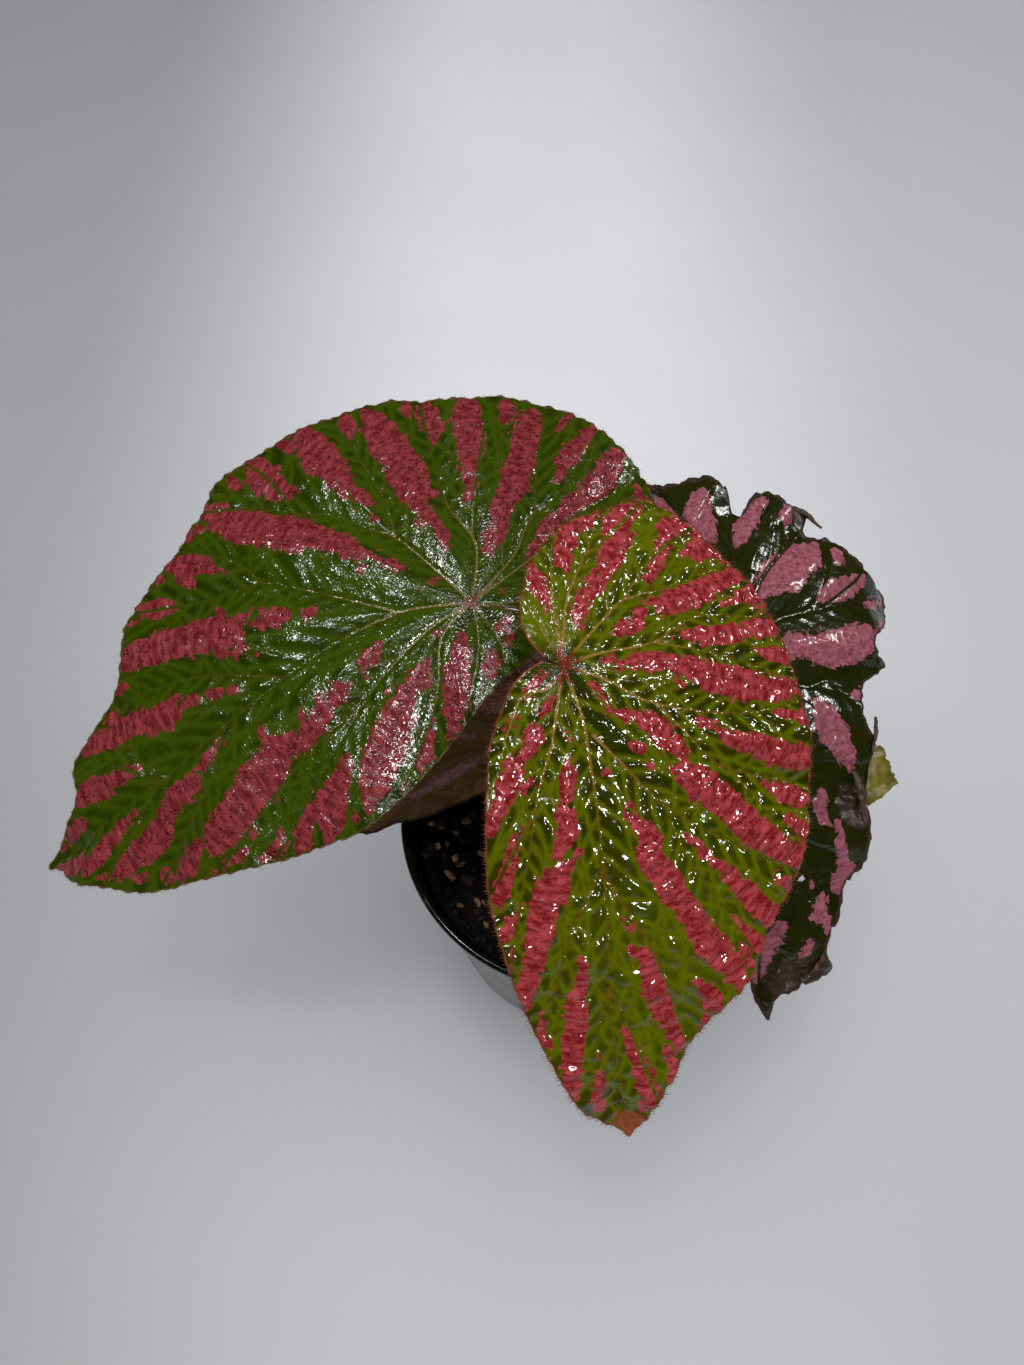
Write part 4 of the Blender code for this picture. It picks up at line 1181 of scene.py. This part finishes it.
            -2, 15, 0, 23), (114, 2, 129, 10, 149, 23),
        ],
        "streaks": [
            (-21, -4, 0.9, -25, -6.5, 1.9, -29.5, -9.7, 2.3, -34, -12.5, 2.6, -39, -14.5, 3, -44.5, -16,
            3, -50, -18, 3.6, -56, -20.3, 4.3, -61, -22.5, 4.3, -65.5, -25.5, 3.2), (-66, -9, 1.4, -68,
            -14, 1.3), (-43.5, -26.7, 1, -46.5, -29, 1.9, -49, -31.5, 3, -53, -33.5, 3.3, -57.5, -35.5,
            3.2, -61.5, -37.3, 2.6, -64, -39, 1.4), (-54.5, -44.5, 1.6, -57, -46, 2, -59.5, -47.5, 1.2),
            (-12.5, -13.5, 1.5, -15, -16, 3, -20, -20.5, 2.6, -22, -24.5, 3.2, -26, -28, 3.4, -30, -31,
            4.6, -33, -35, 4.8, -37.5, -39.5, 4.8, -41, -44.5, 5, -45, -49, 4.6, -49, -54, 3.6), (-38.5,
            -55.5, 1.2, -41.5, -58.5, 2.8, -43.5, -62, 2), (-15, -33, 1.4, -17, -36, 2.3, -19.5, -40,
            2.6, -21, -45, 3.4, -23.5, -50, 4.2, -26, -55.5, 4.8, -27.5, -61, 4.7, -29.5, -66, 4.4, -30,
            -68.5, 2.5), (-14.8, -59.5, 1.5, -16, -63, 3, -16.7, -67, 3.8, -17.3, -71.5, 3.8, -17.6,
            -75.5, 2.4), (-11.5, -74.5, 1.4, -12, -78, 1.9), (-0.5, -21.5, 0.9, -2, -25.5, 2.3, -1.5,
            -30, 1.5, -0.5, -35, 2.2, 0.5, -40, 3.6, 0, -44, 5, -1, -48.5, 6.3, -0.8, -53, 6.8, -1,
            -57.5, 6, 0, -63, 6, 0.3, -69, 5.9, 0.3, -74, 5.4, 0.8, -79, 3.8, 1.5, -82, 2), (-4, -42,
            1.8, -6, -40, 1.4), (3.5, -31.5, 0.8, 4, -33, 0.8), (9.5, -76.5, 1.5, 9, -80, 2.8, 9.3,
            -83.5, 2.2), (15.3, -48, 1.4, 16, -51, 2.4, 17.5, -53.5, 1.8), (21.5, -55, 1.5, 19.5, -58.5,
            3.8, 20.3, -63, 5.2, 21.5, -68, 5.9, 22.8, -73, 6.2, 23.3, -78.5, 5.6, 23.8, -84, 3.6), (30,
            -81.5, 1.6, 31, -85, 2.6, 33, -88, 1.8), (35, -65, 0.9, 38, -67.5, 2.6, 41, -71, 4.8, 42.8,
            -75.5, 6, 44.2, -80, 5.2, 44.5, -84, 4), (53, -79, 1.5, 54.5, -82.5, 1.8), (16, -22, 1.4,
            19.5, -26, 1, 22.5, -30.5, 1.8, 26, -34, 2.8, 28.5, -38, 3.6, 32, -42, 3.8, 36, -46, 4.8,
            40.5, -49.5, 6.4, 46, -54, 6.8, 52, -58.7, 6.2, 57, -63.5, 5.8, 61.5, -68.5, 5.6, 64.5,
            -73.5, 4.5, 66, -77, 2.5), (26.5, -27, 1.3), (41.5, -44, 1.8, 43, -46.5, 2), (69.5, -69.5,
            1.4, 73, -70.5, 1.8, 76, -69.5, 1), (70, -53, 0.9, 72.5, -54.8, 2.4, 76, -58, 4, 80.5,
            -60.5, 5, 84, -63.5, 3.8, 86, -66, 2), (80.5, -54, 1.6, 82, -57, 2.5), (68, -51, 0.9),
            (90.5, -62, 1.3), (89.5, -48.7, 1, 93, -51, 2.9, 97, -53.3, 3.3, 101, -55.5, 2), (104.5,
            -51, 1.2, 107, -50.5, 1.1), (65.5, -31.8, 0.9, 70, -31.5, 2.6, 75, -30.5, 5, 81, -32.5, 5.4,
            87, -34.3, 5.8, 93, -36.3, 5.4, 99, -38, 4.7, 105, -39, 4.6, 110.5, -39.5, 3.6), (71.5, -23,
            1.7, 73.5, -27, 2.8), (79, -24, 1.4, 78.5, -28, 2.6), (75.5, -36, 2, 75.5, -38.5, 1.2),
            (74.7, -21.6, 1.2), (55, -24.5, 1.8, 58, -25.5, 3.4, 62, -27, 3, 64.5, -28, 1.6), (61, -31,
            0.9), (66.4, -27.5, 0.9), (47.3, -22, 1.9, 49.5, -22.5, 1.5), (80, -10.3, 1.4, 81.5, -11.5,
            1.3), (85.5, -12.8, 1.2, 88, -14.5, 1.8), (93.5, -14.3, 1.6, 96, -15.5, 2.2, 98.5, -15,
            1.3), (101, -13, 1.4, 104.5, -15.3, 4.2, 109.5, -16.8, 4.6, 115, -19, 4.3, 121, -20, 4, 127,
            -19.8, 3.8, 132.5, -20.5, 3.1, 137, -20.3, 1.8), (105.3, -11, 1.4, 106, -13, 2), (112,
            -12.5, 1.4, 112, -15, 2.4), (123.5, -23.5, 2.2, 125.5, -26, 2.4), (101, -19, 1.2), (115.5,
            -33.5, 1.3, 118, -33.5, 1.6), (121.5, -4.5, 1.1, 126, -5.6, 2.1, 131, -5.6, 2.8, 136, -6.2,
            3.4, 140.5, -7, 3.8, 144.5, -6.3, 2.2), (146.5, 1.2, 1, 150.5, 0.8, 2.1, 154.5, 1.2, 1.6,
            158, 1.5, 0.8), (161.4, 2.5, 1), (152.5, 11, 1.6, 156, 11.8, 2.5, 159.5, 11.2, 2.2, 163,
            9.3, 1.6, 166, 8.2, 1), (129.5, 6.8, 0.8, 134.5, 8.7, 1.7, 139, 10.3, 2.5, 144, 12, 3,
            148.5, 13.7, 2.8, 152.5, 15, 2.2), (105, 8.5, 2, 109, 9.3, 3.4, 114, 10.5, 3.5, 119, 13.5,
            3.6, 124, 16.8, 4.2, 130, 18.8, 4.4, 135.5, 19.8, 3.8, 141, 20.8, 2.7, 146, 20.8, 1.9,
            149.5, 20, 1), (134, 25.5, 1.5, 138, 26.8, 1.3), (92, 1.3, 0.8, 95, 2.8, 1.5, 98.5, 4.5,
            1.6, 101, 5.8, 1), (78, 4, 1, 77.8, 8, 2.3, 77, 12.5, 5, 81, 17, 6.4, 86.5, 20, 6.6, 92,
            22.8, 6.2, 98, 25.3, 6, 103.5, 27.3, 6, 107.5, 30, 3.6), (70, 13.5, 2.8, 73.5, 13, 3.6),
            (88, 15.5, 2.8), (95.5, 31, 2.4, 98, 29.5, 3), (112, 27.5, 1.8, 115.5, 29.5, 3.8, 119.5,
            31.5, 4, 122.5, 32.5, 2.4), (126, 31.5, 1.2, 128, 30.5, 2.2, 131, 31.5, 1.1), (99.5, 36.8,
            0.9, 103, 37.5, 1.6, 107, 37.5, 1.8), (111.5, 37.5, 1.4), (87.3, 37, 0.7, 89, 39.8, 2.2,
            92.5, 41, 2.4, 95.5, 42, 1.3), (74.3, 33.5, 0.9, 77, 37, 2.6, 79.3, 39.5, 4, 81, 42, 3,
            83.5, 43.5, 1.4), (56, 26.5, 1.1, 58.5, 29.5, 2.2, 62, 32, 3.4, 65.5, 35, 5.4, 69, 39.5,
            5.4, 71.5, 43.5, 4, 73, 45.5, 2), (60.8, 27.4, 0.8), (21.5, 10.3, 1.1, 24.5, 13.5, 2.3, 29,
            16, 3, 34, 20, 4.4, 38.5, 24.5, 5.4, 43, 28.5, 6.2, 47, 32.5, 5.8, 51, 36.5, 4.9, 54.5,
            40.5, 3.4, 57.5, 43.5, 1.6), (44, 23.5, 2, 45.5, 22.5, 1), (25.5, 17.5, 1.3, 27.5, 18, 1.2),
            (30, 31.5, 2, 33, 34.5, 2.3, 36, 38, 2.1, 38.3, 41, 1), (27.8, 28.4, 0.9), (41.5, 40.5, 0.8,
            44.5, 42.5, 1), (61.8, 44.7, 1.1), (8, 7.8, 1, 9.5, 11, 2.2, 11.5, 15, 3.4, 15, 19, 4.3,
            16.5, 23.5, 4.5, 19, 28, 4.2, 22, 32, 2.8, 25, 35.3, 1.2), (1.5, 17.5, 1, 2.5, 20.5, 2.2, 5,
            22.5, 2.3, 5.5, 24.5, 1), (-8, 10.3, 0.9, -5.5, 11.3, 1.8, -2.5, 12, 1.2), (-6, 15.5, 0.8,
            -4, 17, 1), (-10.4, 1.5, 0.9), (14.4, 4.4, 0.9), (33, -1, 1.5, 35.5, 1, 3, 38.5, 2, 2),
            (40.3, 5.5, 0.7), (36.8, 13.8, 0.9), (45.5, 5.5, 0.9, 49, 6.8, 2.6, 53.5, 8.3, 2.2, 58,
            10.5, 3.2, 62, 12.8, 4, 66, 15, 3.2, 67, 18, 1.4), (50, 4, 1.4), (57, 6.5, 1.7), (63.5, 8,
            1.6, 63.5, 6, 1), (68.5, -17.8, 0.7), (15.3, -41.7, 0.7), (7.6, -12.5, 0.9),
        ],
    },
    "back": {
        "junction": (53.6, 38, 158), "heading": -82.7, "pitch": 22, "roll": -8,
        "droop": (0.25, 0.3), "left": (0.2, 30, 0.95), "right": (-0.4, 10, -0.8),
        "waves": (13, 1.7, 2.0), "ragged": 1.6, "puff": 0.4, "calm": 20, "vein_width": 0.55,
        "hair": 0.9, "hair_step": 2.2,
        "joint": (2.1, 7.3, 99), "joint_radius": 6.4, "leaves_at": 25, "reach": (30, 28),
        "bright": [],
        "dry": [(59, 34, 8, 1.0), (118, 8, 8, 1.0), (116, 18, 7, 0.9), (-44, 30, 7, 0.7)],
        "holes": [(82.5, 13, 1.3)],
        "curls": [
            (47, 32, 66, 36, 2.4, 0.62), (108, 21, 118, 14, 1.8, 0.55), (-46, 26, -38, 36, 1.7, 0.6),
            (30, 44, 42, 41, 1.6, 0.55),
        ],
        "margin": [
            (-122, 6), (-110, 11), (-90, 17), (-70, 24), (-50, 34), (-36, 48), (-26, 63),
            (-18, 80), (-12, 95), (-7, 106), (-3, 115), (-1, 126), (1, 133), (2, 124),
            (6, 123), (12, 121), (11, 111), (13, 104), (16, 100), (20, 91), (24, 88),
            (27, 83), (30, 75), (35, 67), (44, 66), (48, 57), (52, 50), (60, 47), (67, 47),
            (77, 56), (81, 50), (87, 50), (94, 60), (103, 67), (108, 61), (117, 56),
            (131, 53), (140, 47), (145, 53), (152, 54), (163, 56), (172, 46), (178, 58),
            (190, 60), (202, 62), (212, 53), (224, 33), (235, 7),
        ],
        "veins": [
            (0, 0, 30, 1, 60, 0, 95, -2, 132, 0), (0, 0, -6, 13, -9, 30, -14, 61), (0, 0, 17, 17, 16,
            28, 21, 43), (0, 0, -20, 9, -37, 28), (0, 0, -24, 1, -45, 3), (0, 0, 29, 15, 57, 30), (20,
            1, 41, 7, 80, 16, 92, 28), (0, 0, 18, -8, 50, -19, 88, -22), (0, 0, -30, -10, -58, -18), (0,
            0, 6, -8, 20, -24),
        ],
        "twigs": [
            (-9, 30, -18, 45, -24, 52), (16, 28, 28, 40), (60, 0, 84, -8, 104, -14),
        ],
        "streaks": [
            (-53, -5, 2.5, -48, -7, 5, -42, -7.5, 5.4, -37.5, -6, 3), (-49.5, 15.5, 2.2, -46, 12, 3.4,
            -41, 8.5, 3.8, -36.5, 4.8, 3, -34, 3, 1.5), (-45, 24.5, 2, -42.5, 22.5, 2), (-32, 32, 2.5,
            -28.5, 29, 5.5, -25.5, 23, 6.8, -22, 17.5, 7, -18, 11.5, 5, -15, 8.5, 2), (-28.5, 40.5, 2.3,
            -26.5, 40.5, 2), (-19, 49, 2, -17.5, 45, 3, -16, 40, 4, -14.5, 35, 4, -12.5, 31, 2), (-13.5,
            61, 1.6, -12.5, 57, 2.2, -11, 52.5, 2.4, -10, 49.5, 1.3), (-4, 58, 1.2, -2.5, 54.5, 1.6),
            (2, 51, 2, 2.5, 46, 5, 4, 40, 6.4, 5.5, 33, 6.4, 6, 27, 5.5, 4.5, 21, 4.5, 4, 15, 4, 3.5,
            11.5, 2), (20.5, 42, 1.6, 22, 38, 2), (24, 21.5, 2, 28, 23.5, 4, 33, 26, 5, 38, 28.5, 4.4,
            42.5, 31, 3, 46.5, 32.5, 1.6), (52.5, 20.5, 1.2, 57, 20, 2.8, 62, 21, 2.2, 64.5, 22.5, 1),
            (64, 25.5, 1, 70, 26, 1.5, 76, 28, 2, 81, 29, 3.2, 85, 28.5, 3.8, 88.5, 27, 2.2), (91, 21,
            2.5, 94, 18, 3, 98, 21, 2, 101, 21, 1.4), (104.5, 15, 1.2, 108.5, 13, 2), (97, 4.5, 1.8,
            102, 2.5, 3, 107, 1, 3.4, 112, -0.5, 3, 118, -2, 1.8), (85.2, 17.3, 0.8), (20, -10, 3, 34,
            -14, 4, 50, -12, 3), (-12, -8, 2.5, -30, -16, 4, -50, -22, 3),
        ],
    },
    "under": {
        "junction": (-14, 24, 118), "heading": 194, "pitch": 3, "roll": 2,
        "droop": (0.12, 0.2), "left": (0.3, 14, 0.5), "right": (0.2, 20, 0.3),
        "waves": (8, 1.1, 0.6), "ragged": 0.8, "puff": 0.5, "calm": 15, "vein_width": 0.5,
        "hair": 0.7, "hair_step": 2.5,
        "joint": (2.2, 7.6, 104), "joint_radius": 5.6, "leaves_at": 130, "reach": (12, 8),
        "bright": [(52, -14, 16, 0.9), (30, -26, 16, 0.6)], "dry": [(80, -2, 10, 0.7)],
        "margin": [
            (-224, 5), (-212, 14), (-198, 25), (-180, 32), (-160, 36), (-135, 40), (-110, 44),
            (-85, 48), (-62, 52), (-42, 56), (-26, 62), (-14, 69), (-5, 78), (0, 87),
            (5, 84), (12, 77), (17, 69), (19, 61), (22, 52), (26, 41), (36, 30), (52, 23),
            (75, 17), (100, 11), (128, 5),
        ],
        "veins": [
            (0, 0, 25, -1, 50, 1, 78, 0), (0, 0, 22, -14, 46, -30), (0, 0, 5, -18, 10, -41), (0, 0, -10,
            -14, -20, -30), (0, 0, -16, -4, -30, -5), (0, 0, 20, 8, 42, 18), (0, 0, 8, 10, 16, 22),
        ],
        "twigs": [
            (22, -14, 34, -36), (-10, -14, -4, -38),
        ],
        "streaks": [
            (14, -14, 1, 28, -30, 3, 34, -40, 3), (-4, -14, 1, -6, -30, 3, -8, -38, 3), (24, -6, 1, 44,
            -14, 3, 60, -20, 2), (20, 3, 1, 40, 8, 2, 56, 12, 1),
        ],
    },
}

# Colours and gloss of each blade: rim is the reach, unevenness and two tones of the dry margin;
# bumps are the strengths of the folds, of the skin's cells and pits, and of the grain
# patch holds the pink's base and lighter tones, mixed along the fold noise as partly uneven tone and
# partly painted light and shade, and a darker tone
LOOKS = {
    "front": {
        "green": (srgb(44, 48, 0), srgb(56, 60, 0), srgb(32, 33, 0)), "bright": srgb(98, 108, 2),
        "seam": srgb(100, 108, 2), "seam_reach": 1.6, "wider": 0.1,
        "patch": (srgb(134, 30, 32), srgb(188, 76, 80), srgb(108, 20, 22)), "pit": srgb(66, 8, 10),
        "pits": 0.5, "teeth": 4.4, "knot": srgb(122, 34, 16), "knot_reach": 4,
        "vein": (srgb(150, 112, 50), srgb(108, 80, 16)), "pale_until": 50,
        "rim": (0.6, 0.7, srgb(160, 84, 30), srgb(126, 50, 20)),
        "rough": (0.06, 0.14), "gloss": 0.5, "bumps": (0.5, 0.06, 0.1),
        "under": (srgb(92, 76, 30), srgb(104, 66, 34), srgb(120, 44, 40)), "rib": srgb(128, 56, 34),
    },
    "left": {
        "green": (srgb(36, 50, 0), srgb(48, 64, 0), srgb(27, 37, 0)), "bright": srgb(60, 78, 2),
        "seam": srgb(64, 82, 4), "seam_reach": 2.2, "wider": 0.25,
        "patch": (srgb(112, 34, 36), srgb(156, 64, 68), srgb(88, 24, 26)), "pit": srgb(46, 8, 10),
        "pits": 0.8, "teeth": 5.0, "knot": srgb(116, 44, 22), "knot_reach": 1.6,
        "vein": (srgb(126, 104, 58), srgb(78, 70, 18)), "pale_until": 48,
        "rim": (0.7, 0.9, srgb(122, 88, 36), srgb(84, 54, 22)),
        "rough": (0.08, 0.18), "gloss": 0.5, "bumps": (0.1, 0.45, 0.15),
        "under": (srgb(80, 56, 26), srgb(92, 50, 32), srgb(106, 38, 38)), "rib": srgb(116, 54, 36),
    },
    "back": {
        "green": (srgb(34, 38, 4), srgb(42, 46, 6), srgb(24, 28, 2)), "bright": srgb(60, 66, 10),
        "seam": srgb(40, 42, 8), "seam_reach": 1.6, "wider": 0.0,
        "patch": (srgb(148, 76, 90), srgb(178, 104, 120), srgb(124, 58, 70)), "pit": srgb(70, 24, 34),
        "pits": 0.5, "teeth": 3.0, "knot": srgb(96, 46, 28), "knot_reach": 2,
        "vein": (srgb(70, 60, 28), srgb(44, 42, 14)), "pale_until": 34,
        "rim": (1.6, 3.4, srgb(74, 50, 28), srgb(44, 30, 18)),
        "rough": (0.1, 0.22), "gloss": 0.5, "bumps": (0.15, 0.15, 0.2),
        "under": (srgb(76, 62, 26), srgb(70, 42, 26), srgb(100, 48, 50)), "rib": srgb(104, 56, 36),
    },
    "under": {
        "green": (srgb(88, 62, 26), srgb(104, 78, 36), srgb(58, 40, 18)), "bright": srgb(132, 122, 34),
        "seam": srgb(112, 84, 44), "seam_reach": 2.0, "wider": 0.0,
        "patch": (srgb(132, 92, 92), srgb(156, 116, 116), srgb(104, 68, 64)), "pit": srgb(60, 30, 24),
        "pits": 0.5, "teeth": 3.0, "knot": srgb(90, 48, 28), "knot_reach": 2,
        "vein": (srgb(88, 68, 42), srgb(72, 54, 30)), "pale_until": 40,
        "rim": (1.2, 2.0, srgb(66, 44, 26), srgb(42, 28, 16)),
        "rough": (0.4, 0.6), "gloss": 0.2, "bumps": (0.3, 0.4, 0.4),
        "under": (srgb(74, 52, 30), srgb(62, 38, 26), srgb(88, 50, 42)), "rib": srgb(98, 62, 42),
    },
}

BRACTS = {
    "low": {"joint": (2.1, 7.3, 99), "joint_radius": 6.4, "turn": 215, "tilt": 16,
            "length": 22, "width": 9, "curl": 0.8, "lean": 0.10},
    "side": {"joint": (2.1, 7.3, 99), "joint_radius": 6.4, "turn": 300, "tilt": 14,
             "length": 18, "width": 8, "curl": 0.8, "lean": 0.12},
    "top": {"joint": (2.8, 10.2, 136), "joint_radius": 5.6, "turn": -30, "tilt": 10,
            "length": 20, "width": 7, "curl": 0.8, "lean": 0.08},
    "dry": {"joint": (-17.8, 23, 143), "joint_radius": 0, "turn": 178, "tilt": 84,
            "length": 22, "width": 12, "curl": 0.8, "lean": 0.05, "rides": ("stalk_left",)},
}

# Lights, in metres, watts and degrees: place, target, width, power, tint and spread
WIDE = ((-0.01, -0.02, 0.95), (-0.01, 0.04, 0), 1.3, 2.3, (1.0, 0.99, 0.98), 130)
LAMP = ((-0.1, -0.04, 1.25), (0, 0, 0.1), 0.2, 0.7, (1.0, 0.98, 0.95), 180)

# Panels that only give the glossy highlights: place, width and power
SHINES = [
    ((-0.47, -0.02, 1.33), 0.15, 3.6), ((0.24, -0.48, 1.04), 0.1, 4.0), ((1.05, 0.2, 1.3), 0.16, 5.0),
]
SHINE_TARGET = (0, 0, 0.16)
SHINE_TINT = (1.0, 0.99, 0.97)
ROOM_LIGHT = 0.55
FLOOR_SPAN = 6

# The camera that the pot's rim and base were fitted to
CAMERA_PLACE = (-0.0244, -0.1692, 0.4602)
CAMERA_DOWN = 57.85
LENS = 29.01
SENSOR = 36


# Floor, light and camera
def build_stage():
    s = Shader("pale_table_painted_light_pool")
    place = s.node("ShaderNodeTexCoord", 3)
    across = s.node("ShaderNodeSeparateXYZ", Vector=place)
    haze = s.noise(place, 6.0, 3, 0.5)
    away = s.node("ShaderNodeSeparateXYZ", 1, Vector=place)
    colour = s.mix(s.ramp(haze, 0.3, 0.7), srgb(246, 246, 248), srgb(250, 250, 252))
    # Painted light: the table is painted darker towards the front, the left and the right, a pool of
    # light painted over the middle
    colour = s.mix(s.ramp(away, 0.22, -0.2, 0.8), colour, srgb(196, 196, 198))
    colour = s.mix(s.ramp(across, -0.04, -0.3, 0.75), colour, srgb(150, 150, 152))
    colour = s.mix(s.ramp(across, 0.03, 0.24, 0.5), colour, srgb(176, 176, 178))
    floor_slot = s.finish(colour, 0.5)
    far = FLOOR_SPAN / 2
    corners = [(-far, -far, 0), (far, -far, 0), (far, far, 0), (-far, far, 0)]
    floor = mesh_from("floor", corners, [(0, 1, 2, 3)], [floor_slot])


def add_light(name, place, target, size, power, tint, spread=180):
    light = bpy.data.lights.new(name, "AREA")
    light.shape = "DISK"
    light.size = size
    light.energy = power
    light.color = tint
    light.spread = math.radians(spread)
    obj = bpy.data.objects.new(name, light)
    obj.location = place
    obj.rotation_euler = (Vector(target) - Vector(place)).to_track_quat("-Z", "Y").to_euler()
    bpy.context.scene.collection.objects.link(obj)
    return obj


def build_lights():
    wide = add_light("wide", *WIDE)
    wide.visible_glossy = False
    add_light("lamp", *LAMP)
    for place, size, power in SHINES:
        shine = add_light("shine", place, SHINE_TARGET, size, power, SHINE_TINT)
        shine.visible_diffuse = False
    world = bpy.data.worlds.new("soft_room")
    world.use_nodes = True
    background = world.node_tree.nodes["Background"]
    background.inputs["Color"].default_value = (0.92, 0.95, 1.0, 1)
    background.inputs["Strength"].default_value = ROOM_LIGHT
    world.cycles_visibility.glossy = False
    bpy.context.scene.world = world
    bpy.context.scene.view_settings.view_transform = "Standard"


def build_camera():
    data = bpy.data.cameras.new("camera")
    data.sensor_width = SENSOR
    data.lens = LENS
    data.clip_start = 0.01
    camera = bpy.data.objects.new("camera", data)
    camera.location = CAMERA_PLACE
    camera.rotation_euler = (math.radians(90 - CAMERA_DOWN), 0, 0)
    bpy.context.scene.collection.objects.link(camera)
    bpy.context.scene.camera = camera


build_camera()
build_stage()
build_lights()
build_pot()
build_soil()
build_grains()
build_stem(simple("cane_bark", srgb(64, 44, 28), srgb(108, 82, 54), 260.0, 0.7, 0.4))
stalk_skin = simple("stalk_skin", srgb(104, 48, 30), srgb(138, 84, 54), 220.0, 0.38,
                    stretch=(1, 1, 0.25), depth=0.2)
hair_tint = simple("stalk_hair", srgb(150, 88, 58), srgb(180, 120, 84), 200.0, 0.5)
for number, (label, leaf) in enumerate(LEAVES.items()):
    look = LOOKS[label]
    fringe = simple("fringe_" + label, *look["rim"][2:], 300.0, 0.45)
    slots = [leaf_top("blade_top_" + label, look), leaf_under("blade_under_" + label, look), fringe]
    build_blade("blade_" + label, leaf, slots, "leaf_" + label, "blade_" + label, number + 3)
    build_stalk(label, leaf, stalk_skin, hair_tint)
flap_skin = simple("flap_underside", srgb(96, 88, 0), srgb(132, 122, 6), 160.0, 0.4, 0.2)
build_flap(LEAVES["back"], flap_skin)
roll_skin = simple("dry_roll", srgb(52, 34, 20), srgb(96, 66, 40), 500.0, 0.6, 0.3)
build_curls(LEAVES["back"], roll_skin)
bract_slot = simple("dry_bract", srgb(124, 78, 60), srgb(204, 156, 128), 320.0, 0.75,
                    stretch=(1, 6, 1), depth=0.2)
for label, spec in BRACTS.items():
    build_bract(label, spec, bract_slot)
